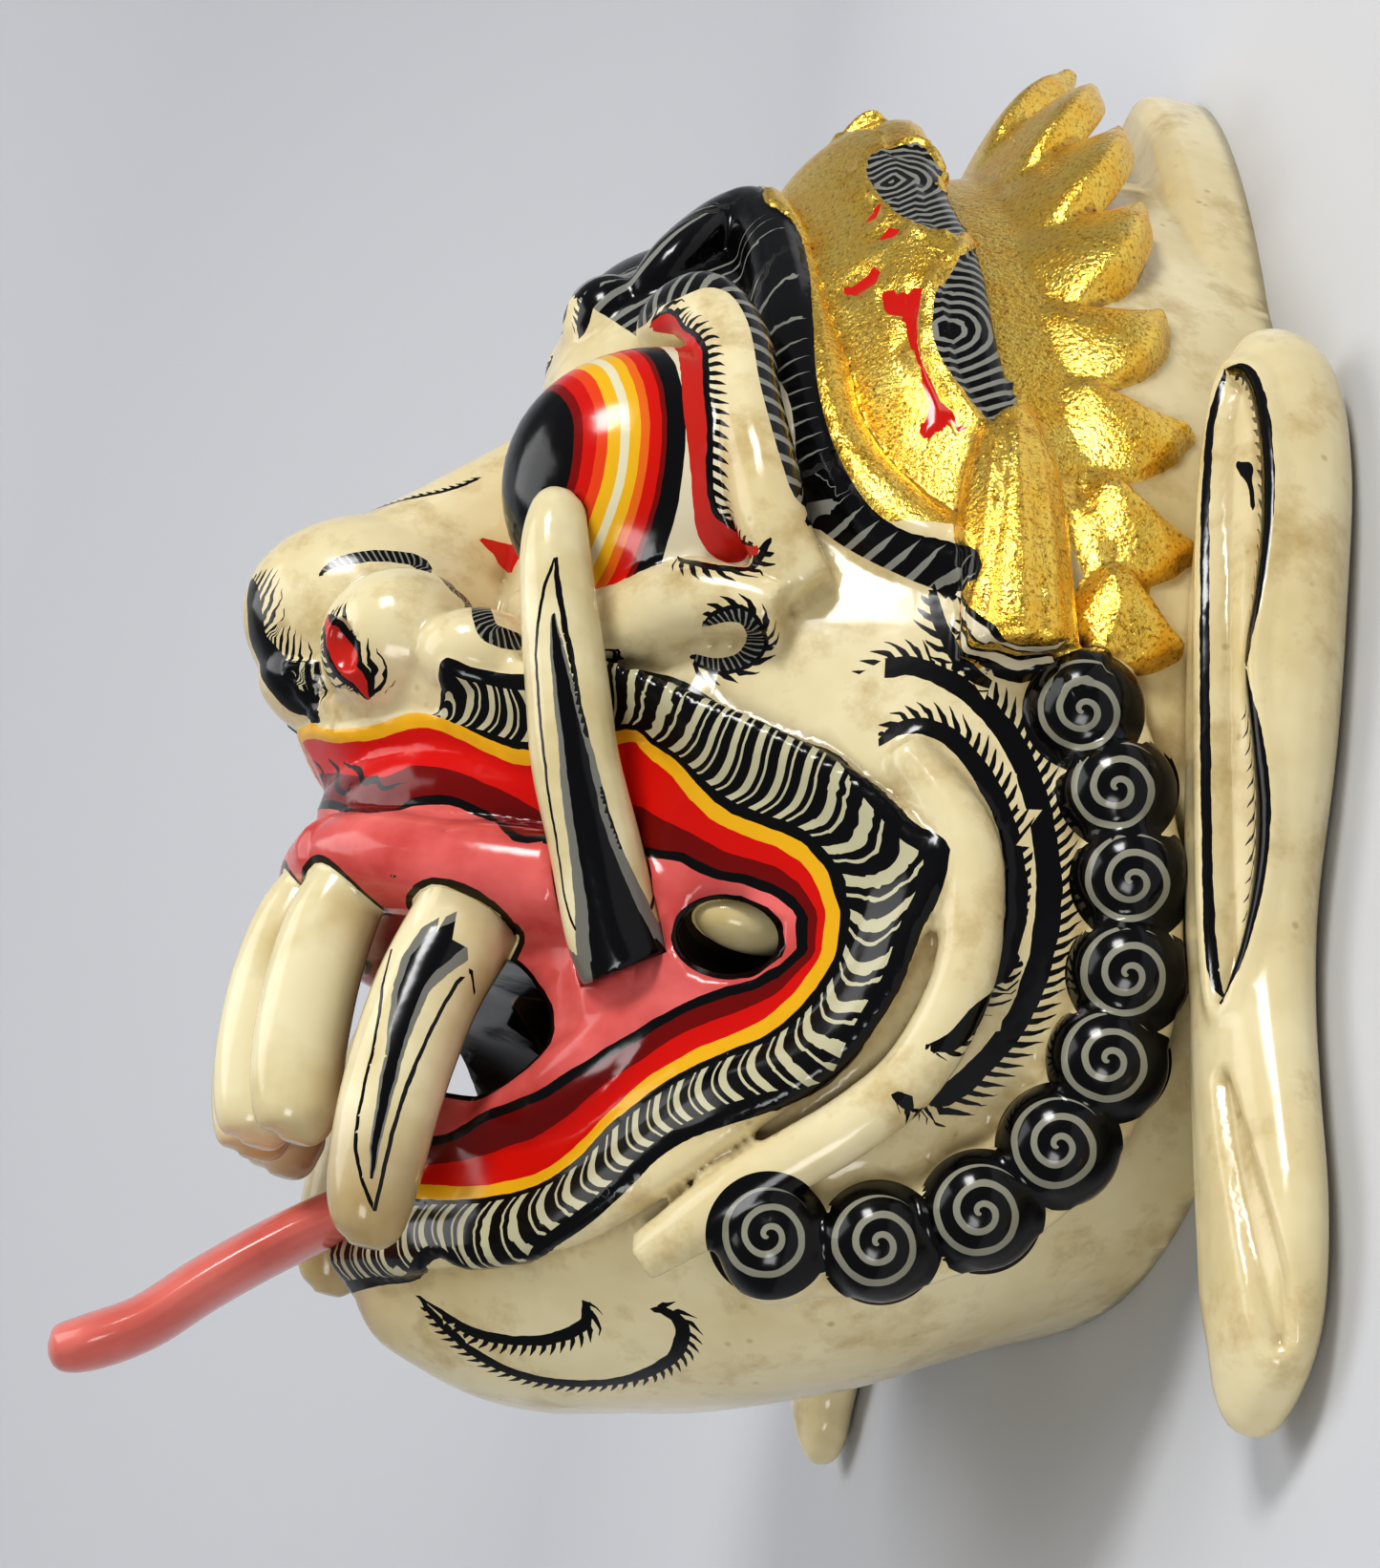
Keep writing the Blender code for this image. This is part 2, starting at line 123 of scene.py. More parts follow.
# Outer edge of the painted band, crest of the lip and inner edge, from nose to chin
LIPS = (
    ((0, -33, 150), (0, -36, 156), (0, -50, 147)),
    ((20, -33, 147), (16, -40, 149), (16, -52, 140)),
    ((38, -31, 134), (31, -40, 137), (29, -57, 126)),
    ((48, -30, 121), (42, -44, 121), (41, -60, 111)),
    ((57, -31, 109), (53, -42, 102), (52, -58, 96)),
    ((69, -38, 89), (61, -53, 88), (57, -59, 88)),
    ((78, -46, 71), (68, -58, 75), (61, -62, 78)),
    ((85, -58, 54), (73, -67, 67), (63, -68, 71)),
    ((84, -76, 56), (72, -76, 66), (62, -75, 71)),
    ((79, -91, 61), (67, -87, 71), (59, -82, 78)),
    ((70, -104, 72), (60, -95, 82), (55, -90, 86)),
    ((60, -114, 81), (51, -107, 92), (48, -100, 96)),
    ((47, -125, 94), (41, -115, 102), (39, -105, 105)),
    ((28, -130, 110), (25, -118, 116), (25, -109, 117)),
    ((0, -131, 123), (0, -119, 127), (0, -110, 124)),
)
LIP_HEART = Vector((0, -78, 60))

# Section of the flared lips: share of the way from outer edge to crest, and how far it stands out
LIP_FLARE = ((0.0, -1.0), (0.15, 3.4), (0.4, 4.8), (0.7, 3.6), (0.88, 1.8), (1.0, 1.6))
LIP_ROOT = 12


def in_metres(place):
    return [value * MM for value in place]


def skin_rings(bm, rings):
    """Join rings of vertices one to the next and close both ends."""
    edges = []
    for ring in rings:
        for here, after in zip(ring, ring[1:] + ring[:1]):
            edges.append(bm.edges.new((here, after)))
    bmesh.ops.bridge_loops(bm, edges=edges)
    for ring in (rings[0], rings[-1]):
        bm.faces.new(ring)


def smooth_route(rows, steps):
    """Read a smooth curve through rows of equal length, steps times a row."""
    rows = [Vector(row) for row in rows]
    out = []
    for index in range(len(rows) - 1):
        before = rows[max(index - 1, 0)]
        start, end = rows[index], rows[index + 1]
        after = rows[min(index + 2, len(rows) - 1)]
        for step in range(steps):
            t = step / steps
            a = -0.5 * before + 1.5 * start - 1.5 * end + 0.5 * after
            b = before - 2.5 * start + 2.0 * end - 0.5 * after
            c = 0.5 * end - 0.5 * before
            out.append(a * t ** 3 + b * t ** 2 + c * t + start)
    out.append(rows[-1])
    return out


def sweep(bm, rows, rise, steps=6, sides=20, extra=0.0, flatness=1.0):
    """A solid along rows of (x, y, z, half width, half depth); rise points out of the face."""
    path = smooth_route(rows, steps)
    rings = []
    for index, row in enumerate(path):
        here = Vector(row[:3])
        ahead = Vector(path[min(index + 1, len(path) - 1)][:3])
        behind = Vector(path[max(index - 1, 0)][:3])
        along = (ahead - behind).normalized()
        across = along.cross(Vector(rise)).normalized()
        out = across.cross(along)
        width = row[3] + extra
        depth = row[4] + extra
        ring = []
        for side in range(sides):
            turn = 2 * math.pi * side / sides
            level = math.copysign(abs(math.sin(turn)) ** flatness, math.sin(turn))
            place = here + across * width * math.cos(turn) + out * depth * level
            ring.append(bm.verts.new(in_metres(place)))
        rings.append(ring)
    skin_rings(bm, rings)


def blob(bm, centre, radii, sides=48):
    """An ellipsoid, as a carver rounds a block."""
    made = bmesh.ops.create_uvsphere(bm, u_segments=sides, v_segments=sides // 2, radius=1.0)
    for vertex in made["verts"]:
        vertex.co = [(centre[axis] + vertex.co[axis] * radii[axis]) * MM for axis in range(3)]


def slice_ring(bm, level, half_width, top, bottom, power_top, power_bottom, sides=128):
    """A level ring like an ellipse, squarer for a higher power."""
    ring = []
    for side in range(sides):
        turn = 2 * math.pi * side / sides
        cosine, sine = math.cos(turn), math.sin(turn)
        power = power_top if sine >= 0 else power_bottom
        reach = (abs(cosine) ** power + abs(sine) ** power) ** (-1.0 / power)
        height = (top - WIDEST_AT) if sine >= 0 else (WIDEST_AT - bottom)
        place = (half_width * cosine * reach, WIDEST_AT + height * sine * reach, level)
        ring.append(bm.verts.new(in_metres(place)))
    return ring


def skull_form(bm, inset=0.0):
    """The mass of the head or, with an inset of one wall, the hollow behind the face."""
    rows = []
    for level, half_width, top, bottom, power_top, power_bottom in SKULL:
        depth = level - inset * (FRONT_WALLS if level > 0 else 1)
        size = max(half_width - inset, NARROWEST)
        upper = max(top - inset * CROWN_WALLS, WIDEST_AT + NARROWEST)
        lower = min(bottom + inset, WIDEST_AT - NARROWEST)
        rows.append((depth, size, upper, lower, power_top, power_bottom))
    skin_rings(bm, [slice_ring(bm, *row) for row in smooth_route(rows, 4)])


def crest_form(bm):
    """The plain back plate behind the gilded petals, pointed like a leaf."""
    rings = [
        slice_ring(bm, level, half_width, top, CREST_FOOT, CREST_POWER, 2.0)
        for level, half_width, top in smooth_route(CREST, 3)
    ]
    skin_rings(bm, rings)


def lip_form(bm):
    """Half of the flared lips: a closed section carried round the mouth."""
    stations = [[value for point in row for value in point] for row in LIPS]
    rings = []
    for row in smooth_route(stations, 8):
        outer, crest, inner = (Vector(row[start:start + 3]) for start in (0, 3, 6))
        outward = ((outer + crest) / 2 - LIP_HEART).normalized()
        section = (
            outer - outward * LIP_ROOT,
            *(outer.lerp(crest, share) + outward * rise for share, rise in LIP_FLARE),
            crest.lerp(inner, 0.2) + outward * 1.4,
            crest.lerp(inner, 0.5) + outward * 0.2,
            inner,
            inner - outward * LIP_ROOT,
        )
        rings.append([bm.verts.new(in_metres(place)) for place in section])
    skin_rings(bm, rings)


# Rolls of the face as rows of (x, y, z, half width, half depth)
EYE_CENTRE = (46, 7, 102)
EYE_RADII = (23, 28, 31)
HOOD = (
    (30, 46, 108, 5, 5), (40, 45, 109, 6, 6), (50, 44, 105, 7, 6), (59, 33, 99, 7, 6),
    (65, 19, 96, 7, 6), (70, 5, 92, 7, 6), (72, -7, 87, 6, 6), (74, -15, 80, 4, 4),
)
BROW = (
    (18, 62, 113, 5, 4), (20, 72, 108, 7, 5), (15, 87, 99, 7, 5), (24, 80, 93, 7, 6),
    (36, 63, 90, 7, 6), (46, 46, 88, 8, 6), (55, 31, 84, 8, 6), (61, 19, 82, 8, 6), (67, 8, 77, 8, 6),
    (73, -1, 70, 8, 5), (78, -6, 62, 7, 5), (82, -9, 55, 5, 4),
)
BAG = (
    (30, -14, 122, 5, 5), (42, -19, 117, 7, 6), (54, -20, 107, 8, 6), (64, -18, 97, 7, 6),
    (72, -20, 84, 5, 5),
)
CHEEK_ROLL = (
    (80, -42, 62, 4, 4), (86, -55, 52, 5, 4), (87, -68, 49, 5, 4), (86, -80, 49, 5, 4),
    (82, -93, 53, 5, 4), (77, -102, 60, 5, 4), (70, -110, 69, 5, 4), (64, -117, 76, 5, 4),
    (55, -125, 84, 4, 3),
)
DIADEM = (
    (-12, 106, 76, 15, 6), (0, 110, 75, 16, 6), (18, 101, 77, 18, 7), (40, 72, 74, 18, 7),
    (54, 52, 70, 18, 7), (65, 29, 66, 17, 7), (74, 8, 58, 14, 6), (81, -4, 50, 9, 5),
)
DIADEM_RISE = (0.5, 0.4, 0.8)
DROP = (
    (76, 25, 51, 3, 4), (81, 14, 52, 6, 7), (86, 0, 52, 8, 8), (89, -12, 51, 8.5, 8.5),
    (90, -25, 49, 9, 8.5),
)
DROP_RISE = (0.8, 0.3, 0.5)
CURLS = (
    (89, -31, 36), (91, -44, 30), (91, -57, 26), (90, -72, 24), (88, -86, 25),
    (83, -99, 29), (77, -110, 38), (70, -117, 51), (64, -120, 65),
)
CURL_RADIUS = 9.4

# Petals of the crown: root, tip and half width; a profile gives the share along, width and half depth
PETALS = (
    ((19, 100, 46), (25, 137, 28), 12), ((36, 80, 46), (42, 114, 25), 12),
    ((49, 59, 46), (58, 84, 24), 12),
    ((59, 40, 45), (71, 50, 24), 12), ((68, 23, 42), (80, 22, 23), 11), ((76, 4, 39), (87, -3, 24), 10),
    ((82, -12, 36), (91, -21, 26), 8),
)
MIDDLE_PETAL = ((0, 112, 46), (0, 155, 30), 12)
PETAL_PROFILE = (
    (-0.7, 1.0, 4), (-0.3, 1.1, 4), (0, 1.22, 4.5), (0.3, 1.2, 5), (0.55, 1.0, 5), (0.78, 0.66, 4.5),
    (0.94, 0.3, 3), (1.06, 0.05, 1.5),
)
PETAL_BOW = 3
PETAL_LIFT = 0.62
PETAL_SQUARENESS = 0.3

FANG_DIAMETER = 17.0
FANG = (
    (37, -74, 121), (39, -88, 125), (42, -105, 127), (44, -120, 127), (44, -128, 126), (44, -131, 126),
)
FANG_SWELL = (1.1, 1.05, 0.98, 0.88, 0.66, 0.3)
GUM_ABOVE = (
    (-20, -63, 138, 9, 14), (0, -63, 140, 9, 14), (20, -63, 137, 9, 13), (34, -65, 124, 9, 12),
    (44, -66, 110, 9, 10), (51, -67, 98, 9, 8), (57, -66, 86, 6, 6),
)
GUM_BELOW = (
    (57, -78, 82, 6, 6), (52, -87, 89, 7, 7), (46, -96, 96, 7, 8), (37, -104, 103, 6, 8),
    (20, -109, 110, 6, 8), (0, -110, 113, 6, 8), (-20, -109, 110, 6, 8),
)
INCISORS = ((7.4, 148), (21.6, 142))
INCISOR_FORM = (
    (-62, -4, 6.0, 6.0), (-72, 0, 7.2, 7.5), (-84, 1.5, 7.6, 8.0), (-98, 1, 7.6, 8.0),
    (-108, -1, 7.2, 7.5), (-112, -2, 5.5, 5.5), (-114, -2, 2.5, 2.5),
)
MOUTH_GAP = (
    (-53, -90, 110, 4, 4), (-44, -91, 112, 8, 9), (-34, -90, 113, 12, 17), (-18, -89, 114, 12, 25),
    (0, -89, 115, 13, 27), (18, -89, 114, 12, 25), (34, -90, 113, 12, 17), (44, -91, 112, 8, 9),
    (53, -90, 110, 4, 4),
)

# Rounded blocks: centre and radii
CORNER_PIT = ((63, -74, 76), (8, 7.5, 14))
MOLAR = ((60.5, -70, 77.5), (6, 4.6, 9.5))
NOSTRIL = ((33, -31, 154), (4, 6, 5))
NOSE_WING = ((24, -24, 142), (16, 14, 15))
WING_END = ((38, -28, 128), (10, 9, 12))
BROW_KNOT = ((11, 58, 118), (10, 10, 9))
GUM_CORNER = ((46, -80, 91), (11, 17, 13))
NOSE_TIP = ((0, -12, 144), (21, 22, 29))
NOSE_FOOT = ((0, -26, 146), (16, 11, 21))
NOSE_BRIDGE = ((0, 55, 116, 11, 9), (0, 30, 118, 13, 13), (0, 10, 130, 16, 17), (0, -8, 142, 19, 22))
JAW_BLOCK = ((0, -50, 100), (46, 24, 50))


def petal_form(bm, root, tip, width):
    """A leaf of the crown: flat face, straight upper edge, lower edge rounding up to the tip."""
    root, tip = Vector(root), Vector(tip)
    outward = Vector((tip.x, 0.3 * (tip.y + 20), 60)).normalized()
    upward = outward.cross(tip - root).normalized() if root.x else Vector()
    rows = []
    for along, wide, thick in PETAL_PROFILE:
        bow = PETAL_BOW * math.sin(math.pi * max(0.0, min(along + 0.1, 1.0)))
        lift = width * PETAL_LIFT * max(0.0, 1.15 - wide)
        place = root.lerp(tip, along) + outward * bow + upward * lift
        rows.append((*place, width * wide, thick))
    sweep(bm, rows, outward, sides=32, flatness=PETAL_SQUARENESS)


def side_forms(bm):
    """Everything that is carved once on each side of the head."""
    lip_form(bm)
    blob(bm, EYE_CENTRE, EYE_RADII)
    for rows, rise in (
        (HOOD, (0.5, 0.1, 0.86)),
        (BROW, (0.4, 0.3, 0.86)),
        (BAG, (0.5, 0, 0.86)),
        (CHEEK_ROLL, (0.9, 0, 0.4)),
        (DROP, DROP_RISE),
        (GUM_ABOVE, (0.3, 0, 1)),
        (GUM_BELOW, (0.3, 0.2, 1)),
    ):
        sweep(bm, rows, rise)
    sweep(bm, [(*place, CURL_RADIUS * 0.87, 4) for place in CURLS], (0.9, -0.2, 0.5))
    for place in CURLS:
        blob(bm, place, (CURL_RADIUS,) * 3, 32)
    for root, tip, width in PETALS:
        petal_form(bm, root, tip, width)
    sweep(bm, DIADEM, DIADEM_RISE)
    for block in (NOSE_WING, WING_END, BROW_KNOT, GUM_CORNER):
        blob(bm, *block)


def middle_forms(bm):
    """What crosses the middle of the face."""
    skull_form(bm)
    crest_form(bm)
    petal_form(bm, *MIDDLE_PETAL)
    blob(bm, *NOSE_TIP)
    blob(bm, *NOSE_FOOT)
    sweep(bm, NOSE_BRIDGE, (0, 0, 1))
    blob(bm, *JAW_BLOCK)


def gap_form(bm):
    """The gap between the jaws."""
    sweep(bm, MOUTH_GAP, (0, 0, 1))


def carve(name, *builders):
    """A new object with the forms that these builders add."""
    bm = bmesh.new()
    for builder in builders:
        builder(bm)
    bmesh.ops.recalc_face_normals(bm, faces=bm.faces)
    mesh = bpy.data.meshes.new(name)
    bm.to_mesh(mesh)
    bm.free()
    made = bpy.data.objects.new(name, mesh)
    bpy.context.scene.collection.objects.link(made)
    return made


def apply_modifier(made, name, kind, **settings):
    """Add a modifier with these settings and apply it."""
    modifier = made.modifiers.new(name, kind)
    for key, value in settings.items():
        setattr(modifier, key, value)
    for other in bpy.context.view_layer.objects:
        other.select_set(False)
    bpy.context.view_layer.objects.active = made
    made.select_set(True)
    bpy.ops.object.modifier_apply(modifier=modifier.name)


def both_sides(made):
    apply_modifier(made, "other side", "MIRROR", use_axis=(True, False, False), use_mirror_merge=False)


def add_mesh(made, other):
    """Put another object's mesh into this one and delete the other object."""
    bm = bmesh.new()
    bm.from_mesh(made.data)
    bm.from_mesh(other.data)
    bm.to_mesh(made.data)
    bm.free()
    bpy.data.objects.remove(other)


def combine(made, other, operation):
    """Cut another object away from this one, or join it on, and delete it."""
    apply_modifier(made, "combine", "BOOLEAN", operation=operation, solver="MANIFOLD", object=other)
    bpy.data.objects.remove(other)


head = carve("carved_head", side_forms)
both_sides(head)
add_mesh(head, carve("middle of the head", middle_forms))
apply_modifier(head, "one skin", "REMESH", mode="VOXEL", voxel_size=GRAIN * MM)
apply_modifier(head, "rub down", "SMOOTH", factor=0.5, iterations=3)

combine(head, carve("mouth gap", gap_form), "DIFFERENCE")
pits = carve("pits", lambda bm: blob(bm, *CORNER_PIT), lambda bm: blob(bm, *NOSTRIL))
both_sides(pits)
combine(head, pits, "DIFFERENCE")
combine(head, carve("hollow", lambda bm: skull_form(bm, WALL)), "DIFFERENCE")


def round_rows(places, diameter, swells):
    """Rows of a round form from its places and the swell of its diameter at each."""
    return [(*place, diameter / 2 * swell, diameter / 2 * swell) for place, swell in zip(places, swells)]


def fang_form(bm):
    sweep(bm, round_rows(FANG, FANG_DIAMETER, FANG_SWELL), (0, 0, 1))


def incisor_form(bm, x, z):
    sweep(bm, [(x, y, z + lean, wide, deep) for y, lean, wide, deep in INCISOR_FORM], (0, 0, 1))


for builder in (
    lambda bm: blob(bm, *MOLAR),
    fang_form,
    lambda bm: incisor_form(bm, *INCISORS[0]),
    lambda bm: incisor_form(bm, *INCISORS[1]),
):
    tooth = carve("tooth", builder)
    twin = tooth.copy()
    twin.data = tooth.data.copy()
    twin.data.transform(Matrix.Scale(-1, 4, (1, 0, 0)))
    twin.data.flip_normals()
    bpy.context.scene.collection.objects.link(twin)
    combine(head, tooth, "UNION")
    combine(head, twin, "UNION")


# The tusks, the ears and the tongue are pieces of their own. Their forms stand here because
# each is glued into a seat that is cut in the head, with a gap of SEAM_GAP all round.
SEAM_GAP = 0.4
TUSK_DIAMETER = 16.0
TUSK = (
    (54, -80, 95), (55, -74, 99), (58, -62, 105), (60, -50, 111), (61, -38, 115), (62, -26, 119),
    (62, -15, 122), (61, -7, 123), (61, -4, 123),
)
TUSK_SWELL = (1.0, 1.0, 0.95, 0.92, 0.88, 0.82, 0.74, 0.58, 0.30)
TONGUE_THICKNESS = 9.5
TONGUE_WIDTH = 30.0
TONGUE = (
    (0, -113, 112), (0, -117, 122), (0, -123, 131), (0, -130, 140), (0, -138, 149), (0, -146, 157),
    (0, -151, 165), (0, -153, 170), (0, -153.5, 171.5),
)
TONGUE_TAPER = (0.9, 1.0, 1.0, 1.0, 0.95, 0.88, 0.76, 0.5, 0.16)
EAR = (
    (89, 43, 13, 4, 5), (93, 34, 12, 9, 10), (97, 15, 12, 12, 12), (99, -10, 12, 14, 12),
    (100, -35, 11, 14, 11), (100, -58, 10, 12.5, 9.5), (102, -75, 9, 12, 8.5), (106, -92, 8.5, 13, 8),
    (111, -110, 8, 14, 7.5), (113, -124, 7.5, 12, 7), (110, -134, 6.5, 7, 5), (108, -137, 6, 3, 3),
)


def tusk_form(bm, sign, extra=0.0):
    places = [(sign * x, y, z) for x, y, z in TUSK]
    sweep(bm, round_rows(places, TUSK_DIAMETER, TUSK_SWELL), (sign * 0.5, 0.0, 0.86), extra=extra)


def ear_form(bm, sign, extra=0.0):
    sweep(bm, [(sign * x, *rest) for x, *rest in EAR], (0, 0, 1), extra=extra)


def tongue_form(bm, extra=0.0):
    rows = []
    for place, taper in zip(TONGUE, TONGUE_TAPER):
        thickness = TONGUE_THICKNESS * min(1.0, 1.6 * taper)
        rows.append((*place, TONGUE_WIDTH / 2 * taper, thickness / 2))
    sweep(bm, rows, (0, 1, 0.6), extra=extra)


def ground_form(bm):
    """What lies below the rim: it trims every piece flat."""
    bmesh.ops.create_cube(bm, size=0.6, matrix=Matrix.Translation((0, 0, -0.3)))


for name, sign in SIDES:
    combine(head, carve("socket", lambda bm: tusk_form(bm, sign, SEAM_GAP)), "DIFFERENCE")
    combine(head, carve("seat", lambda bm: ear_form(bm, sign, SEAM_GAP)), "DIFFERENCE")
combine(head, carve("slot", lambda bm: tongue_form(bm, SEAM_GAP)), "DIFFERENCE")
combine(head, carve("ground", ground_form), "DIFFERENCE")
head.data.calc_loop_triangles()
full_count = len(head.data.loop_triangles)
if full_count > HEAD_TRIANGLES:
    apply_modifier(head, "facets", "DECIMATE", ratio=HEAD_TRIANGLES / full_count)


def clean(made):
    """Merge doubles, drop crumbs that came off, and shade smooth."""
    bm = bmesh.new()
    bm.from_mesh(made.data)
    bmesh.ops.remove_doubles(bm, verts=bm.verts, dist=1e-6)
    left = set(bm.verts)
    groups = []
    while left:
        stack = [left.pop()]
        group = set(stack)
        while stack:
            for edge in stack.pop().link_edges:
                for vertex in edge.verts:
                    if vertex not in group:
                        group.add(vertex)
                        stack.append(vertex)
        left -= group
        groups.append(group)
    groups.sort(key=len)
    for group in groups[:-1]:
        bmesh.ops.delete(bm, geom=list(group), context="VERTS")
    bmesh.ops.triangulate(bm, faces=bm.faces)
    bm.to_mesh(made.data)
    bm.free()
    made.data.shade_smooth()


def settle(made, node, material):
    """Give a piece its material, hang it on the root body and hide the imported part of that name."""
    made.data.materials.clear()
    made.data.materials.append(material)
    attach(made, "root")
    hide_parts(node)


def look(picture_point):
    """The direction of the photograph's ray through a pixel."""
    x, y = picture_point
    right = (x - PHOTO_CENTRE[0]) / FOCAL_PIXELS
    up = (PHOTO_CENTRE[1] - y) / FOCAL_PIXELS
    return (VIEW_RIGHT * right + VIEW_UP * up - VIEW_BACK).normalized()


def skin_of(made):
    """The surface of a piece, for casting rays and for finding what is nearest."""
    bm = bmesh.new()
    bm.from_mesh(made.data)
    tree = BVHTree.FromBMesh(bm)
    bm.free()
    return tree


def land(skin, picture_point):
    """Where a pixel's ray meets the skin, or passes nearest to it just off the outline."""
    ray = look(picture_point)
    hit = skin.ray_cast(EYE, ray)
    if hit[0] is not None:
        return hit[0] / MM
    passing = [skin.find_nearest(EYE + ray * (0.28 + 0.004 * step)) for step in range(60)]
    return min(passing, key=lambda found: found[3])[0] / MM


def trace(skin, points, steps=4):
    """Carry a line on to the skin; points are pixels in (x, y, ...) or places in [x, y, z, ...]."""
    rows = []
    for point in points:
        pixel = isinstance(point, tuple)
        place, extras = (point[:2], point[2:]) if pixel else (point[:3], point[3:])
        found = land(skin, place) if pixel else skin.find_nearest(Vector(place) * MM)[0] / MM
        rows.append((*found, *extras))
    places, facing, extras = [], [], []
    for row in smooth_route(rows, steps):
        hit = skin.find_nearest(Vector(row[:3]) * MM)
        places.append(hit[0] / MM)
        facing.append(hit[1])
        extras.append(row[3:])
    return np.array(places), np.array(facing), np.array(extras)


def follow(places, line, facing):
    """Length along a line and signed distance to its left, for each place."""
    nearest = np.full(len(places), 1e6)
    along = np.zeros(len(places))
    side = np.full(len(places), 1e6)
    squareness = np.zeros(len(places))
    run = 0.0
    for index in range(len(line) - 1):
        span = line[index + 1] - line[index]
        length = float(np.linalg.norm(span))
        if length < 1e-6:
            continue
        offset = places - line[index]
        share = np.clip(offset @ span / length ** 2, 0, 1)
        gap = offset - share[:, None] * span
        distance = np.linalg.norm(gap, axis=1)
        left = offset @ np.cross(facing[index], span / length)
        square = np.abs(left) / np.maximum(distance, 1e-6)
        tie = np.abs(distance - nearest) < 1e-4
        closer = (distance < nearest - 1e-4) | (tie & (square > squareness))
        nearest[closer] = distance[closer]
        squareness[closer] = square[closer]
        along[closer] = (run + share * length)[closer]
        side[closer] = (distance * np.sign(left))[closer]
        run += length
    return along, side


def running_length(line):
    """Length along a line at each of its places."""
    return np.concatenate([[0], np.cumsum(np.linalg.norm(np.diff(line, axis=0), axis=1))])


def bound(places, skin, points, heart):
    """Length along a painted boundary and signed distance from it, left as seen from outside the heart."""
    line, _, _ = trace(skin, points)
    return follow(places, line, line - np.array(heart))


def read_places(made):
    """Vertex places in millimetres, folded on to the near side."""
    places = np.empty(len(made.data.vertices) * 3)
    made.data.vertices.foreach_get("co", places)
    places = places.reshape(-1, 3) / MM
    places[:, 0] = np.abs(places[:, 0])
    return places


def in_picture(places):
    """Where places fall in the photograph, in pixels."""
    offset = places * MM - np.array(EYE)
    depth = -(offset @ np.array(VIEW_BACK))
    x = PHOTO_CENTRE[0] + FOCAL_PIXELS * (offset @ np.array(VIEW_RIGHT)) / depth
    y = PHOTO_CENTRE[1] - FOCAL_PIXELS * (offset @ np.array(VIEW_UP)) / depth
    return np.stack([x, y], axis=1)


def signs_of_loop(places, line):
    """Which places lie inside a closed loop, as the photograph sees them."""
    spots, loop = in_picture(places), in_picture(line)
    inside = np.zeros(len(places), dtype=bool)
    for here, after in zip(loop, np.roll(loop, -1, axis=0)):
        crosses = (here[1] > spots[:, 1]) != (after[1] > spots[:, 1])
        rise = after[1] - here[1] if abs(after[1] - here[1]) > 1e-9 else 1e-9
        level = here[0] + (spots[:, 1] - here[1]) * (after[0] - here[0]) / rise
        inside ^= crosses & (spots[:, 0] < level)
    return inside


def raise_skin(made, lift):
    """Move each vertex out along its normal by so many millimetres."""
    normals = np.empty(len(lift) * 3)
    made.data.vertex_normals.foreach_get("vector", normals)
    spots = np.empty(len(lift) * 3)
    made.data.vertices.foreach_get("co", spots)
    spots += (normals.reshape(-1, 3) * (lift * MM)[:, None]).ravel()
    made.data.vertices.foreach_set("co", spots)
    made.data.update()


def step_up(values, start, end):
    """Nought before start, one past end, smooth between."""
    share = np.clip((values - start) / (end - start), 0, 1)
    return share * share * (3 - 2 * share)


def read_mesh(made):
    """The places of a mesh and the corners of each triangle."""
    mesh = made.data
    places = read_places(made)
    corners = np.empty(len(mesh.loops), dtype=np.int64)
    mesh.loops.foreach_get("vertex_index", corners)
    return places, corners.reshape(-1, 3)


def store(made, name, values, domain="POINT"):
    """Keep three numbers a vertex, or a corner, for the material to read."""
    layer = made.data.attributes.new(name, "FLOAT_VECTOR", domain)
    layer.data.foreach_set("vector", np.ascontiguousarray(values, dtype=np.float32).ravel())


def reach_to(tree, places):
    """Distance from each place to a form, in millimetres."""
    return np.array([tree.find_nearest(Vector(place) * MM)[3] / MM for place in places])


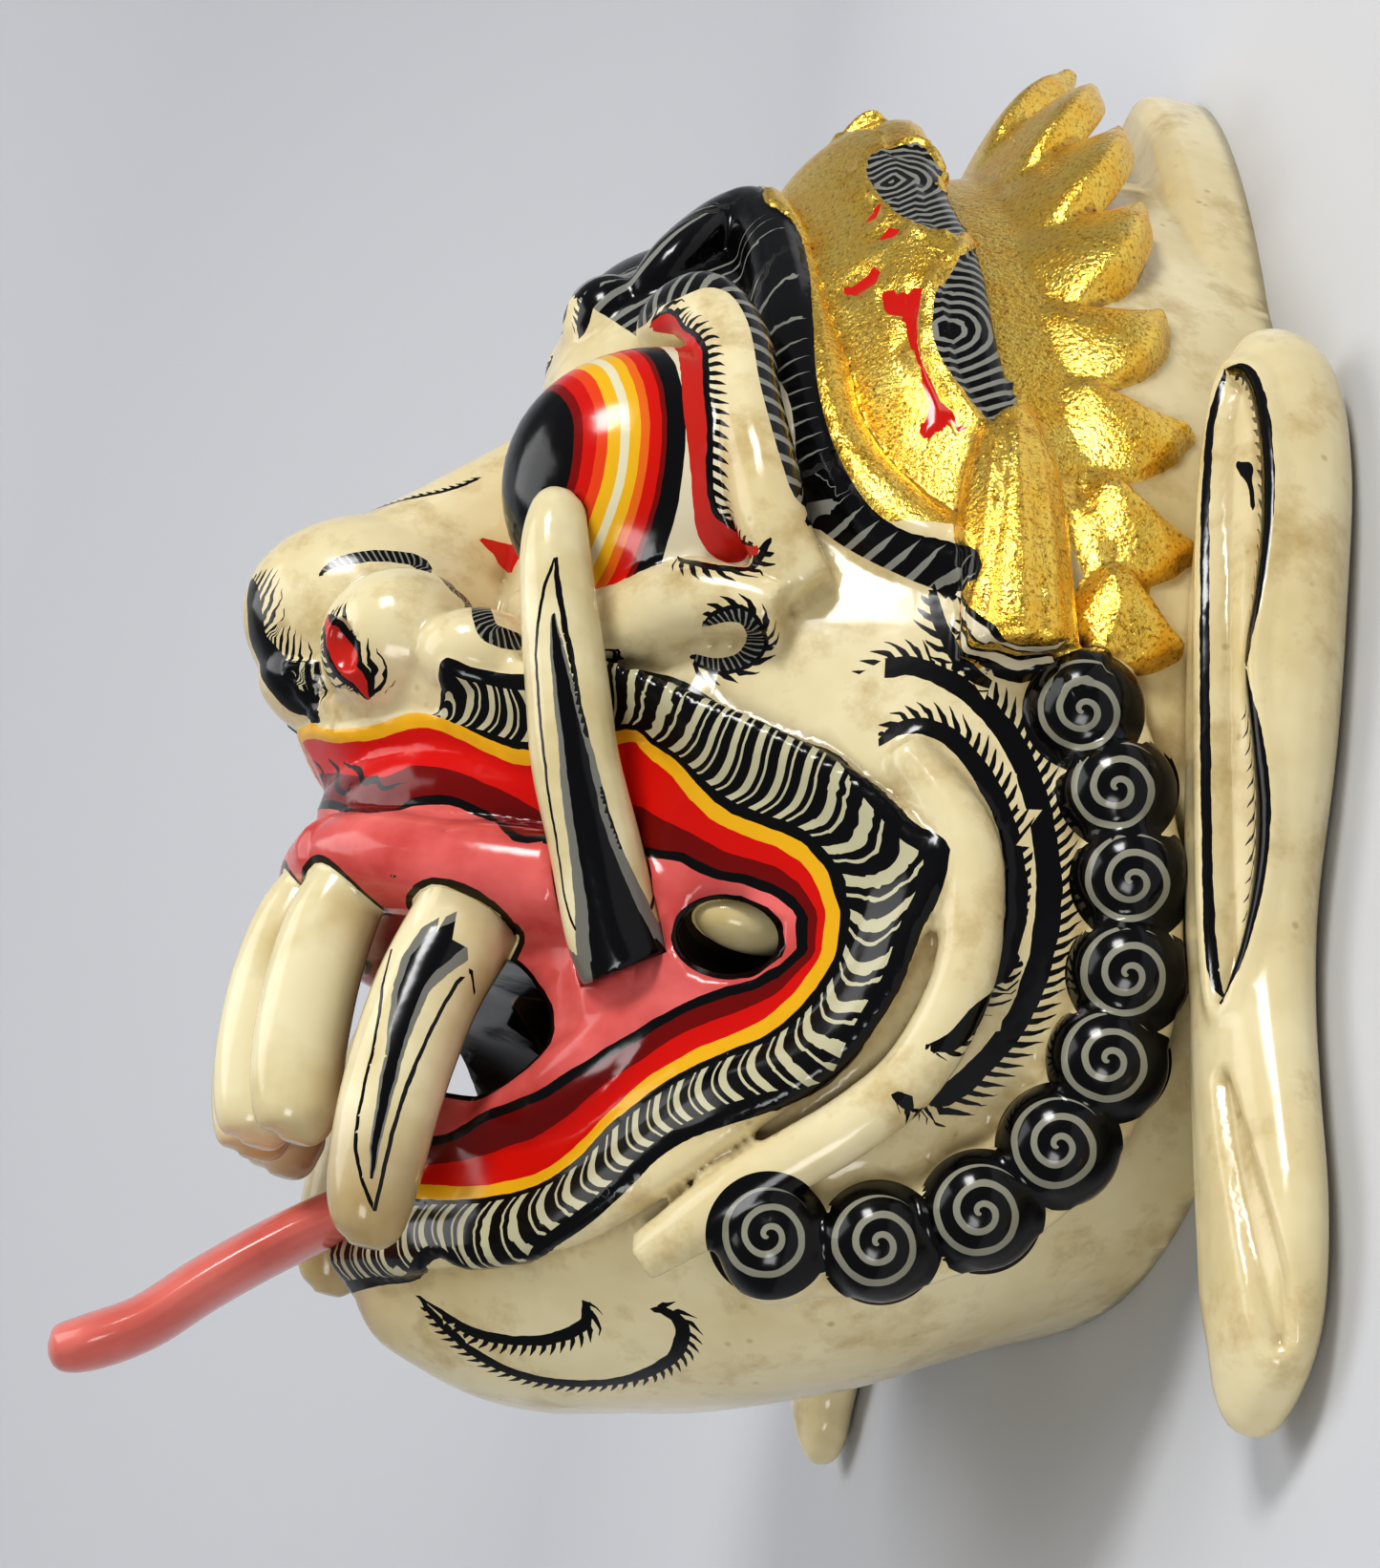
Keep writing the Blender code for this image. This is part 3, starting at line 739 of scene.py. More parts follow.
def paint_strokes(made, skin, strokes):
    """Give each corner the brush stroke nearest its triangle: how far along, how far off, how wide."""
    places, triangles = read_mesh(made)
    middles = places[triangles].mean(axis=1)
    nearest = np.full(len(triangles), 1e6)
    ink = np.zeros((len(triangles), 3, 3))
    ink[:, :, 1] = 99
    lash = np.zeros((len(triangles), 3, 3))
    for kind, pitch, left, right, points in strokes:
        line, facing, extras = trace(skin, points)
        widths = extras[:, 0]
        margin = max(left, right) + widths.max() + 3
        low, high = line.min(axis=0) - margin, line.max(axis=0) + margin
        near = np.flatnonzero(np.all((middles > low) & (middles < high), axis=1))
        along, side = follow(middles[near], line, facing)
        marks = running_length(line)
        clear = np.abs(side) - np.interp(along, marks, widths)
        past_end = (along <= 0) | (along >= marks[-1] - 1e-4)
        claim = clear - np.where(side > 0, left, right) - 10 * (clear < 0.4)
        chosen = (claim < nearest[near]) & (clear < margin) & ~(past_end & (clear > 0.2))
        near = near[chosen]
        nearest[near] = claim[chosen]
        spots = places[triangles[near]].reshape(-1, 3)
        along, side = follow(spots, line, facing)
        width = np.interp(along, marks, widths)
        sides = side.reshape(-1, 3)
        sides[(sides.min(axis=1) < -3) & (sides.max(axis=1) > 3)] = 99
        fade = np.clip(np.minimum(along, marks[-1] - along) / (0.1 * marks[-1]), 0, 1) ** 0.5
        ink[near] = np.stack([along / pitch, side, width], axis=1).reshape(-1, 3, 3)
        lashes = np.stack([left * fade, right * fade, np.full(len(fade), kind)], axis=1)
        lash[near] = lashes.reshape(-1, 3, 3)
    store(made, "ink", ink, "CORNER")
    store(made, "lash", lash, "CORNER")


def from_hex(text):
    """An sRGB hex colour as linear red, green, blue and alpha."""
    values = [int(text[start:start + 2], 16) / 255 for start in (1, 3, 5)]
    linear = [v / 12.92 if v <= 0.04045 else ((v + 0.055) / 1.055) ** 2.4 for v in values]
    return (*linear, 1.0)


def adder(made):
    """The function that adds a node and fills its sockets in order; kinds in capitals are sums."""
    tree = made.node_tree

    def add(kind, *values, out=0, **settings):
        if kind.isupper():
            kind, settings = "Math", {"operation": kind}
        node = tree.nodes.new("ShaderNode" + kind)
        for key, value in settings.items():
            setattr(node, key, value)
        for socket, value in zip(node.inputs, values):
            if isinstance(value, bpy.types.NodeSocket):
                tree.links.new(value, socket)
            elif value is not None:
                socket.default_value = from_hex(value) if isinstance(value, str) else value
        return node.outputs[out]

    return add


def parts_of(add, name):
    """The three numbers of an attribute."""
    return list(add("SeparateXYZ", add("Attribute", out=1, attribute_name=name)).node.outputs)


def noise(add, scale, detail=2.0, roughness=0.5):
    return add("TexNoise", add("TexCoord", out=3), None, scale, detail, roughness)


def clouds(add, scale, detail, roughness, low, high, start=0.0, end=1.0):
    """Soft clouds: start where the noise is low, end where it is high."""
    return add("MapRange", noise(add, scale, detail, roughness), low, high, start, end)


def pointedness(add, low, high, start):
    """How hollow the surface is: start in the hollows, nought on the flat."""
    return add("MapRange", add("NewGeometry", out=7), low, high, start, 0.0)


# Colours of the lacquer, the lines, the leaf and the bare wood
CREAM_LIGHT, CREAM_DARK = "#E3D7B0", "#CDBB8B"
STAIN = "#A5864A"
SPECK_BROWN = "#8A6A38"
HOLLOW_BROWN = "#8C7342"
IVORY_LIGHT, IVORY_DARK = "#E2D7B0", "#C2AE78"
BLACK = "#0B0B0D"
GREY = "#85857C"
WEDGE_GREY = "#77766E"
COIL_GREY = "#8C8A7A"
RED = "#C8140C"
HEART_RED = "#C22A20"
# Painted shade: a deeper red for the inner part of the lip, where it falls away into the mouth
LIP_SHADE_RED = "#6E0A08"
PIT_RED = "#C01A0E"
GUM_LIGHT, GUM_DARK = "#E0706C", "#B8403C"
CAVITY = "#140606"
BAND_CREAM = "#B9B494"
STROKE_CREAM = "#D8CDB0"
YELLOW = "#E0A91F"
GUM_LINE = "#2A2112"
TIP_BROWN = "#7A4E22"
LEAF_LIGHT, LEAF_DARK = "#FFE070", "#FFC640"
LEAF_GRAIN = "#8A4C08"
LEAF_WORN = "#5A1D08"
BARE_WOOD = "#B08B5A"


def cream_ground(add):
    """Aged cream lacquer: warm clouds, stains, small brown specks and darker hollows."""
    colour = add("MixRGB", clouds(add, 28.0, 4.0, 0.6, 0.35, 0.7), CREAM_LIGHT, CREAM_DARK)
    colour = add("MixRGB", clouds(add, 75.0, 5.0, 0.65, 0.52, 0.76, 0.0, 0.7), colour, STAIN)
    speck = add("TexVoronoi", add("TexCoord", out=3), None, 190.0)
    fleck = add("MapRange", speck, 0.06, 0.16, 0.45, 0.0)
    fleck = add("MULTIPLY", fleck, clouds(add, 30.0, 2.0, 0.5, 0.5, 0.62))
    colour = add("MixRGB", fleck, colour, SPECK_BROWN)
    return add("MixRGB", pointedness(add, 0.42, 0.5, 0.75), colour, HOLLOW_BROWN)


def ivory_ground(add):
    """Yellowed ivory lacquer in soft clouds."""
    return add("MixRGB", clouds(add, 50.0, 4.0, 0.5, 0.4, 0.7), IVORY_LIGHT, IVORY_DARK)


def ink_over(add, colour):
    """Brush strokes over a colour: core, border and tapering lashes; also where they are drawn."""
    phase, side, width = parts_of(add, "ink")
    left, right, kind = parts_of(add, "lash")

    def is_kind(number):
        return add("COMPARE", kind, number, 0.3)

    side = add("ADD", side, clouds(add, 260.0, 2.0, 0.5, 0.0, 1.0, -0.35, 0.35))
    off = add("ABSOLUTE", side)
    core = add("LESS_THAN", off, width)
    reach = add("Mix", add("GREATER_THAN", side, 0.0), None, right, left, data_type="FLOAT")
    beyond = add("SUBTRACT", off, width)
    share = add("DIVIDE", beyond, add("MAXIMUM", reach, 0.01))
    beat = add("FRACT", add("ADD", phase, add("MULTIPLY", off, 0.34)))
    lashes = add("LESS_THAN", beat, add("MapRange", share, 0.55, 1.0, 0.5, 0.05))
    border = add("MULTIPLY", reach, add("Mix", is_kind(4.0), None, 0.28, 1.0, data_type="FLOAT"))
    drawn = add("MAXIMUM", add("LESS_THAN", beyond, border), lashes)
    drawn = add("MULTIPLY", drawn, add("GREATER_THAN", reach, 0.05))
    drawn = add("MULTIPLY", drawn, add("LESS_THAN", share, 1.0))
    drawn = add("MAXIMUM", drawn, core)
    colour = add("MixRGB", drawn, colour, BLACK)
    colour = add("MixRGB", add("MULTIPLY", core, is_kind(1.0)), colour, HEART_RED)
    hatch = add("FRACT", add("ADD", add("MULTIPLY", phase, 2.0), add("MULTIPLY", side, 0.35)))
    hatch = add("MULTIPLY", add("LESS_THAN", hatch, 0.32), add("MULTIPLY", core, is_kind(2.0)))
    colour = add("MixRGB", hatch, colour, GREY)
    colour = add("MixRGB", add("MULTIPLY", core, is_kind(4.0)), colour, STROKE_CREAM)
    rim = add("GREATER_THAN", off, add("MULTIPLY", width, 0.62))
    rim = add("MULTIPLY", rim, add("MULTIPLY", core, is_kind(3.0)))
    return add("MixRGB", rim, colour, WEDGE_GREY), drawn


LACQUER_ROUGHNESS, LEAF_ROUGHNESS = 0.16, 0.22
LACQUER_BUMP, LEAF_BUMP = 0.12, 0.38
BUMP_DEPTH = 0.0012
LACQUER_SHEEN = 0.32


def gloss(made, add, colour, roughness=LACQUER_ROUGHNESS, metallic=0.0):
    """Join the colour to the shader: hard clear lacquer in soft waves, gold leaf crinkled."""
    shader = made.node_tree.nodes["Principled BSDF"]
    made.node_tree.links.new(colour, shader.inputs["Base Color"])
    for name, value in (("Roughness", roughness), ("Metallic", metallic)):
        if isinstance(value, bpy.types.NodeSocket):
            made.node_tree.links.new(value, shader.inputs[name])
        else:
            shader.inputs[name].default_value = value
    shader.inputs["Specular IOR Level"].default_value = LACQUER_SHEEN
    waves, crinkle = noise(add, 90.0, 3.0), noise(add, 1000.0, 3.0, 0.6)
    height = add("Mix", metallic, None, waves, crinkle, data_type="FLOAT")
    strength = add("Mix", metallic, None, LACQUER_BUMP, LEAF_BUMP, data_type="FLOAT")
    made.node_tree.links.new(add("Bump", strength, BUMP_DEPTH, None, height), shader.inputs["Normal"])


def new_material(name):
    """A material and the function that adds nodes to it."""
    made = bpy.data.materials.new(name)
    made.use_nodes = True
    return made, adder(made)


# Strokes: kind (0 black, 1 red heart, 2 hatched heart, 3 grey edges, 4 cream in black), pitch of
# the lashes, which lean back where it is negative, lash length left and right of the way the
# brush went, then points of the photograph with half widths in millimetres.
LID = (
    (684, 342, 1.0), (702, 341, 2.2), (716, 362, 2.4), (724, 400, 1.9), (729, 450, 1.8),
    (731, 500, 1.3), (736, 540, 1.6), (750, 563, 2.8), (770, 575, 2.4), (790, 577, 0.8),
)
HEAD_STROKES = (
    # Tip of the nose, nostril and its upper crease
    (0, 1.9, 8.0, 0.0, (
        (262, 608, 0.4), (262, 640, 1.6), (270, 680, 2.4), (290, 718, 2.8), (308, 738, 2.4),
        (334, 754, 0.8),
    )),
    (1, 1.7, 5.4, 5.4, (
        (342, 646, 0.4), (350, 668, 1.8), (362, 690, 2.3), (374, 710, 1.8), (384, 730, 0.4),
    )),
    (2, 2.4, 0.0, 0.0, (
        (334, 602, 0.2), (350, 590, 1.0), (380, 583, 1.3), (415, 583, 1.4), (445, 595, 1.3),
        (470, 613, 1.3), (492, 636, 1.4), (508, 655, 1.9), (528, 668, 2.0), (546, 672, 1.6),
    )),
    # Scroll on the upper lip
    (0, 2.0, 0.0, 0.0, ((328, 796, 0.2), (338, 812, 0.7), (334, 826, 0.5), (344, 836, 0.2))),
    (0, 2.0, 0.0, 0.0, (
        (342, 794, 0.2), (354, 806, 0.6), (352, 822, 0.7), (362, 832, 0.5), (368, 820, 0.2),
    )),
    (0, 2.0, 0.0, 0.0, (
        (360, 800, 0.2), (376, 806, 0.6), (380, 820, 0.6), (392, 812, 0.5), (400, 826, 0.5),
        (422, 822, 0.1),
    )),
    # Bridge of the nose, corner of the eye, lids and the creases over the eye
    (0, 1.6, 1.4, 0.0, ((385, 532, 0.2), (430, 522, 0.3), (475, 512, 0.3), (505, 500, 0.2))),
    (1, 2.0, 0.0, 0.0, ((503, 566, 0.2), (520, 574, 1.6), (538, 585, 3.0))),
    (1, -2.3, 4.0, 0.0, LID),
    (0, 2.3, 3.4, 0.0, (
        (804, 566, 0.3), (790, 584, 0.5), (764, 594, 0.5), (735, 590, 0.4), (710, 584, 0.2),
    )),
    (0, 2.0, 0.0, 2.6, ((626, 298, 0.4), (617, 315, 1.2), (612, 335, 1.2), (607, 352, 0.5))),
    (0, 2.0, 0.0, 1.6, ((590, 318, 0.3), (585, 335, 0.5), (582, 350, 0.3))),
    # Curl and two feathers of the cheek
    (2, 2.2, 2.6, 0.0, (
        (738, 655, 0.4), (757, 646, 0.9), (776, 646, 1.2), (789, 660, 1.4), (788, 680, 1.5),
        (774, 692, 1.4), (748, 696, 1.1), (726, 688, 0.5),
    )),
    (0, 1.9, 4.4, 0.0, (
        (885, 742, 0.4), (905, 715, 0.9), (940, 700, 1.0), (985, 712, 1.0), (1030, 745, 1.1),
        (1065, 795, 1.2), (1086, 860, 1.3), (1094, 930, 1.4), (1086, 1000, 1.3), (1062, 1065, 1.2),
        (1025, 1112, 1.1), (985, 1144, 1.2), (940, 1150, 0.8),
    )),
    (0, 1.9, 4.2, 0.0, (
        (920, 780, 0.4), (945, 764, 0.8), (985, 770, 0.9), (1016, 800, 1.0), (1044, 850, 1.1),
        (1057, 905, 1.2), (1059, 960, 1.3), (1048, 1010, 1.2), (1025, 1058, 1.2), (1000, 1086, 1.1),
        (975, 1096, 0.6),
    )),
    # Fringe at the end of the brow
    (0, 3.2, 0.0, 4.2, (
        (978, 615, 0.3), (985, 645, 0.5), (997, 670, 0.5), (1015, 695, 0.6), (1040, 718, 0.5),
    )),
    # Two curls of the chin
    (0, 1.8, 0.0, 3.0, (
        (438, 1358, 0.3), (465, 1376, 0.5), (500, 1395, 0.6), (545, 1402, 0.6), (585, 1398, 0.6),
        (612, 1382, 0.6), (610, 1360, 0.3),
    )),
    (0, 1.8, 0.0, 3.0, (
        (440, 1360, 0.3), (470, 1392, 0.6), (505, 1420, 0.7), (550, 1440, 0.7), (610, 1448, 0.7),
        (660, 1442, 0.8), (700, 1422, 0.8), (712, 1395, 0.8), (700, 1375, 0.6), (680, 1372, 0.3),
    )),
    # Bands under the drop of the crown
    (4, 2.0, 1.0, 1.0, (
        (1004, 622, 0.5), (1012, 646, 0.9), (1035, 666, 1.0), (1070, 677, 1.0), (1104, 672, 0.8),
    )),
    (4, 2.0, 1.0, 2.0, (
        (996, 650, 0.4), (1006, 668, 0.8), (1030, 686, 0.9), (1066, 696, 0.9), (1100, 690, 0.6),
    )),
    # Wedge and outline of the fang
    (3, 2.0, 0.0, 0.0, (
        (468, 985, 5.0), (440, 1010, 4.0), (424, 1050, 2.6), (413, 1100, 1.6), (402, 1150, 1.2),
        (392, 1200, 0.8), (389, 1235, 0.3),
    )),
    (0, 2.0, 0.0, 0.0, (
        (410, 992, 0.3), (402, 1025, 0.3), (395, 1070, 0.3), (385, 1120, 0.3), (374, 1170, 0.3),
        (373, 1210, 0.3), (384, 1250, 0.3), (392, 1268, 0.3),
    )),
    (0, 2.0, 0.0, 0.0, (
        (392, 1268, 0.3), (400, 1230, 0.35), (412, 1180, 0.35), (428, 1130, 0.35), (450, 1080, 0.35),
        (474, 1035, 0.35), (491, 1010, 0.35), (494, 1025, 0.3), (496, 1045, 0.2),
    )),
)

# Middle of the pupil, and the right edge of each painted ring on the pixel row through the eye
EYE_SPOT = (534, 490)
RING_ROW = 505
RING_EDGES = (594, 602, 616, 629, 642, 652, 663, 674, 686, 692, 712)
RING_COLOURS = (
    BLACK, "#7A0C0A", "#C4170E", "#D9471C", "#E2AE22", "#D9D2B0", "#E2AE22", "#DD6A1E", "#CB1A0E", "#7A0C0A",
    BLACK, "#DCD2B4",
)
CURL_SPOTS = (
    (1134, 744), (1170, 825), (1185, 922), (1181, 1020), (1161, 1110), (1108, 1200), (1027, 1270),
    (920, 1302), (804, 1294),
)

# Painted boundaries, from the middle of the face round its near side: the yellow line on the lips,
# the outer edge of the black band, the edge of the gum, and the two edges of the brow
YELLOW_LINE = (
    [0, -36, 155], [8, -37, 152], (330, 766), (360, 770), (400, 765), (430, 754), (460, 757),
    (500, 775), (530, 789), (562, 793), (660, 770), (680, 785), (705, 803), (747, 851), (798, 874),
    (835, 888), (858, 915), (871, 945), (872, 980), (862, 1012), (838, 1045), (800, 1078), (760, 1094),
    (720, 1113), (680, 1138), (640, 1173), (600, 1213), (560, 1238), (500, 1250), (455, 1250),
    [18, -118, 121], [8, -119, 125], [0, -119, 126],
)
BAND_EDGE = (
    [0, -36, 155.5], [8, -37, 152.5], (330, 762), (360, 764), (400, 759), (430, 749), (455, 748),
    (462, 735), (459, 705), (468, 688), (500, 700), (548, 706), (600, 698), (633, 696), (690, 706),
    (727, 720), (766, 746), (823, 772), (871, 787), (903, 816), (951, 857), (990, 880), (994, 900),
    (983, 940), (960, 985), (942, 1030), (920, 1068), (900, 1098), (870, 1128), (840, 1149),
    (800, 1166), (760, 1179), (720, 1194), (690, 1213), (660, 1243), (620, 1279), (580, 1306),
    (540, 1320), (480, 1324), (455, 1318), [18, -131, 114], [8, -131, 117], [0, -131, 118],
)
INNER_EDGE = (
    [0, -50, 147], [10, -51, 143], (385, 850), (430, 840), (470, 838), (510, 855), (540, 877),
    (590, 890), (700, 895), (740, 912), (780, 922), (815, 935), (840, 960), (842, 990), (820, 1015),
    (790, 1030), (745, 1043), (700, 1064), (650, 1094), (600, 1125), (560, 1150), (510, 1168),
    [26, -109, 116], [12, -110, 123], [0, -111, 125],
)
BROW_INNER = (
    [4, 62, 118], (655, 345), (672, 342), (690, 322), (715, 310), (745, 301), (768, 312), (785, 345),
    (795, 400), (808, 450), (820, 490), (835, 525), (860, 556), (900, 582), (950, 606), (985, 622),
    (1005, 650),
)
BROW_GOLD = (
    [0, 97, 92], [12, 94, 93], (800, 212), (828, 232), (842, 265), (850, 330), (855, 400), (870, 460),
    (895, 510), (920, 540), (955, 560), (1000, 570), (1022, 576), (1030, 600),
)
MOUTH_HEART = (0, -65, 30)
CROWN_HEART = (0, 10, 10)

# Black pads of the diadem with the middle of their arcs, and the red pits beside them
LOZENGES = (
    ((908, 185), (915, 165), (945, 152), (965, 152), (988, 180), (1010, 215), (1018, 240), (985, 243),
     (950, 233), (925, 213), (908, 185)),
    ((1022, 258), (1042, 285), (1050, 330), (1060, 385), (1067, 425), (1045, 441), (1015, 418), (990, 385),
     (977, 350), (983, 305), (1003, 272), (1022, 258)),
)
LOZENGE_SPOTS = ((932, 193), (993, 345))
PITS = (
    ((895, 172, 1.3), (890, 190, 1.6), (896, 200, 1.0)),
    ((903, 236, 1.2), (912, 232, 1.5), (920, 222, 1.2)),
    ((915, 250, 1.0), (928, 246, 1.4), (940, 246, 1.0)),
    ((885, 305, 0.8), (900, 306, 1.3), (913, 296, 1.6), (914, 284, 1.2)),
    ((932, 305, 1.6), (938, 318, 2.4), (945, 325, 2.2)),
    ((962, 300, 1.2), (957, 320, 1.6), (955, 350, 1.0), (960, 380, 0.8), (972, 405, 0.8), (980, 425, 0.8)),
    ((972, 450, 1.8), (984, 440, 1.8), (990, 430, 1.2)),
    ((1003, 462, 1.2), (1010, 452, 1.4), (1012, 440, 1.0)),
)


DEEPEST = 9


def tree_of(*builders):
    """The surface of the forms that these builders add, before they are fused."""
    bm = bmesh.new()
    for builder in builders:
        builder(bm)
    bmesh.ops.recalc_face_normals(bm, faces=bm.faces)
    tree = BVHTree.FromBMesh(bm)
    bm.free()
    return tree


def diadem_form(bm):
    sweep(bm, DIADEM, DIADEM_RISE)


def drop_form(bm):
    sweep(bm, DROP, DROP_RISE)


def gold_forms(bm):
    diadem_form(bm)
    drop_form(bm)
    for petal in (*PETALS, MIDDLE_PETAL):
        petal_form(bm, *petal)


def tooth_forms(bm):
    blob(bm, *MOLAR)
    fang_form(bm)
    for x, z in INCISORS:
        incisor_form(bm, x, z)


def reach_into(tree, places):
    """Distance outside a closed form in millimetres, nought where it is less than DEEPEST inside."""
    out = np.empty(len(places))
    for index, place in enumerate(places):
        spot = Vector(place) * MM
        near, facing, _, distance = tree.find_nearest(spot)
        inside = distance < DEEPEST * MM and (spot - near).dot(facing) < 0
        out[index] = 0.0 if inside else distance / MM
    return out


def with_sign(distance, negative):
    """Distances with the sign that a test gives them."""
    return np.where(negative, -np.abs(distance), np.abs(distance))


clean(head)
SKIN = skin_of(head)
paint_strokes(head, SKIN, HEAD_STROKES)
places, triangles = read_mesh(head)
across, up, height = places.T

# Lips. Above nought is outside each boundary. Far from the mouth the signs mean nothing, so
# every place there counts as outside.
_, yellow = bound(places, SKIN, YELLOW_LINE, MOUTH_HEART)
_, band = bound(places, SKIN, BAND_EDGE, MOUTH_HEART)
_, inner = bound(places, SKIN, INNER_EDGE, MOUTH_HEART)
away = (up > -34) | (up < -134) | (across > 80) | (height < 48)
yellow = np.where(away, np.abs(yellow), yellow)
away = (up > -27) | (up < -140) | (across > 90) | (height < 44)
band = np.where(away, np.abs(band), band)

# The beat of the band's strokes runs along the yellow line with its kinks eased out
EASING = 13
line, facing, _ = trace(SKIN, YELLOW_LINE)
padded = np.pad(line, ((EASING // 2, EASING // 2), (0, 0)), mode="edge")
kernel = np.ones(EASING) / EASING
eased = np.stack([np.convolve(padded[:, axis], kernel, mode="valid") for axis in range(3)], axis=1)
run, _ = follow(places, eased, facing)
store(head, "lip", np.stack([run, yellow, band], axis=1))
gap = reach_to(tree_of(gap_form, lambda bm: blob(bm, *CORNER_PIT)), places)
tooth = reach_into(tree_of(tooth_forms), places)
store(head, "mouth", np.stack([inner, gap, tooth], axis=1))

# Brow, between its two edges. On the near side the photograph tells what lies between them.
BROW_REACH = 40
brow_run, brow_in = bound(places, SKIN, BROW_INNER, CROWN_HEART)
_, brow_gold = bound(places, SKIN, BROW_GOLD, CROWN_HEART)
edge = np.concatenate([trace(SKIN, BROW_INNER)[0], trace(SKIN, BROW_GOLD)[0][::-1]])
near_side = (across > 50) & (np.abs(brow_in) < BROW_REACH) & (np.abs(brow_gold) < BROW_REACH)
off_brow = near_side & ~signs_of_loop(places, edge)
face_side = off_brow & (np.abs(brow_in) < np.abs(brow_gold))
crown_side = off_brow & ~face_side
brow_in = np.where(near_side, with_sign(brow_in, face_side), brow_in)
brow_gold = np.where(near_side, with_sign(brow_gold, ~crown_side), brow_gold)
brow_in[up < -16] = -99
store(head, "brow", np.stack([brow_run, brow_in, brow_gold], axis=1))

# Gold lies on the crown's forms and on the front of the head from the brow's edge outward
gold = reach_into(tree_of(gold_forms), places)
crown_front = np.maximum.reduce([0.8 - brow_gold, brow_gold - 50, -2 - up, 37 - height])
gold = np.minimum(gold, np.maximum(crown_front, 0))
pit = np.full(len(places), 99.0)
for points in PITS:
    line, facing, extras = trace(SKIN, points)
    along, side = follow(places, line, facing)
    pit = np.minimum(pit, np.abs(side) - np.interp(along, running_length(line), extras[:, 0]))
lozenge = np.full(len(places), 99.0)
arcs = np.zeros(len(places))
for points, spot in zip(LOZENGES, LOZENGE_SPOTS):
    line, facing, _ = trace(SKIN, points, 2)
    _, side = follow(places, line, facing)
    side = with_sign(side, signs_of_loop(places, line))
    nearer = np.abs(side) < np.abs(lozenge)
    lozenge = np.where(nearer, side, lozenge)
    arcs = np.where(nearer, np.linalg.norm(places - np.array(land(SKIN, spot)), axis=1), arcs)
lozenge[reach_into(tree_of(diadem_form), places) > 1.2] = 9
store(head, "gild", np.stack([gold, pit, lozenge], axis=1))

# Eye: rings by how far each place swings from the pupil's axis, in degrees
eye_reach = reach_to(tree_of(lambda bm: blob(bm, EYE_CENTRE, EYE_RADII)), places)
heart = Vector(EYE_CENTRE)
pupil = (land(SKIN, EYE_SPOT) - heart).normalized()


def swing(place):
    return math.degrees((Vector(place) - heart).normalized().angle(pupil))


ring_swings = [swing(land(SKIN, (x, RING_ROW))) for x in RING_EDGES]
swings = np.array([swing(place) for place in places])
store(head, "eye", np.stack([swings, eye_reach, arcs], axis=1))
hollow = reach_to(tree_of(lambda bm: skull_form(bm, WALL)), places)
store(head, "back", np.stack([hollow, height, up], axis=1))


def ridge(distance, spread):
    """A rounded ridge along a line: one on it, nought far from it."""
    return np.exp(-(distance / spread) ** 2)


# Shallow carving that follows the painted boundaries: the flanged lip, the ridge under the yellow
# line, the edge of the gold, the frames round the two black pads, the small red pits and the
# grooves of the drop.
DROP_MIDDLE = ((1064, 440), (1066, 500), (1066, 560), (1062, 620), (1060, 655))
lift = 0.9 * step_up(-band, -0.2, 1.2) * step_up(yellow, 0.0, 1.5) * (yellow < 26)
lift += 0.7 * ridge(yellow, 1.4)
lift += 1.0 * step_up(brow_gold, -0.3, 0.9) * (brow_gold < 24)
lift += 1.3 * ridge(lozenge - 1.3, 0.9) - 0.5 * step_up(-lozenge, -0.5, 0.5)
lift -= 1.3 * step_up(-pit, -0.5, 0.5)
drop = reach_into(tree_of(drop_form), places)
_, side = follow(places, *trace(SKIN, DROP_MIDDLE)[:2])
side = np.abs(side)
fan = np.interp(up, (-25, 25), (4.2, 1.2))
lift -= (drop < 1) * (ridge(side - fan, 0.8) + 0.5 * ridge(side - 2.2 * fan, 0.7))
outside = (hollow > 3) & (height > 2) & (tooth > 1)
raise_skin(head, lift * outside)

# Curls: each corner's place in the plane of its nearest boss, and how far it is from their chain
curl = np.zeros((len(triangles), 3, 3))
middles = places[triangles].mean(axis=1)
nearest = np.full(len(triangles), 1e6)
for spot in CURL_SPOTS:
    centre = land(SKIN, spot)
    facing = (EYE - centre * MM).normalized()
    flat_u = facing.cross(VIEW_UP).normalized()
    flat_v = facing.cross(flat_u)
    away = np.linalg.norm(middles - np.array(centre), axis=1)
    chosen = np.flatnonzero(away < nearest)
    nearest[chosen] = away[chosen]
    offset = places[triangles[chosen]] - np.array(centre)
    curl[chosen, :, 0] = offset @ np.array(flat_u)
    curl[chosen, :, 1] = offset @ np.array(flat_v)
_, side = follow(places, *trace(SKIN, CURL_SPOTS)[:2])
curl[:, :, 2] = np.abs(side)[triangles]
store(head, "curl", curl, "CORNER")

# Painted lacquer on carved wood gives the eye a glossy aged cream with crisp black, red and
# yellow line work, and burnished gold leaf on the crown.
lacquer, add = new_material("painted lacquer on carved wood")
colour = cream_ground(add)
tremble = clouds(add, 160.0, 2.0, 0.5, 0.0, 1.0, -0.4, 0.4)


def lay(mask, tint):
    """Paint a tint over the colour so far, where the mask is one."""
    global colour
    colour = add("MixRGB", mask, colour, tint)


def both(*masks):
    """Where all masks are one."""
    out = masks[0]
    for mask in masks[1:]:
        out = add("MULTIPLY", out, mask)
    return out


def between(value, low, high):
    return both(add("GREATER_THAN", value, low), add("LESS_THAN", value, high))
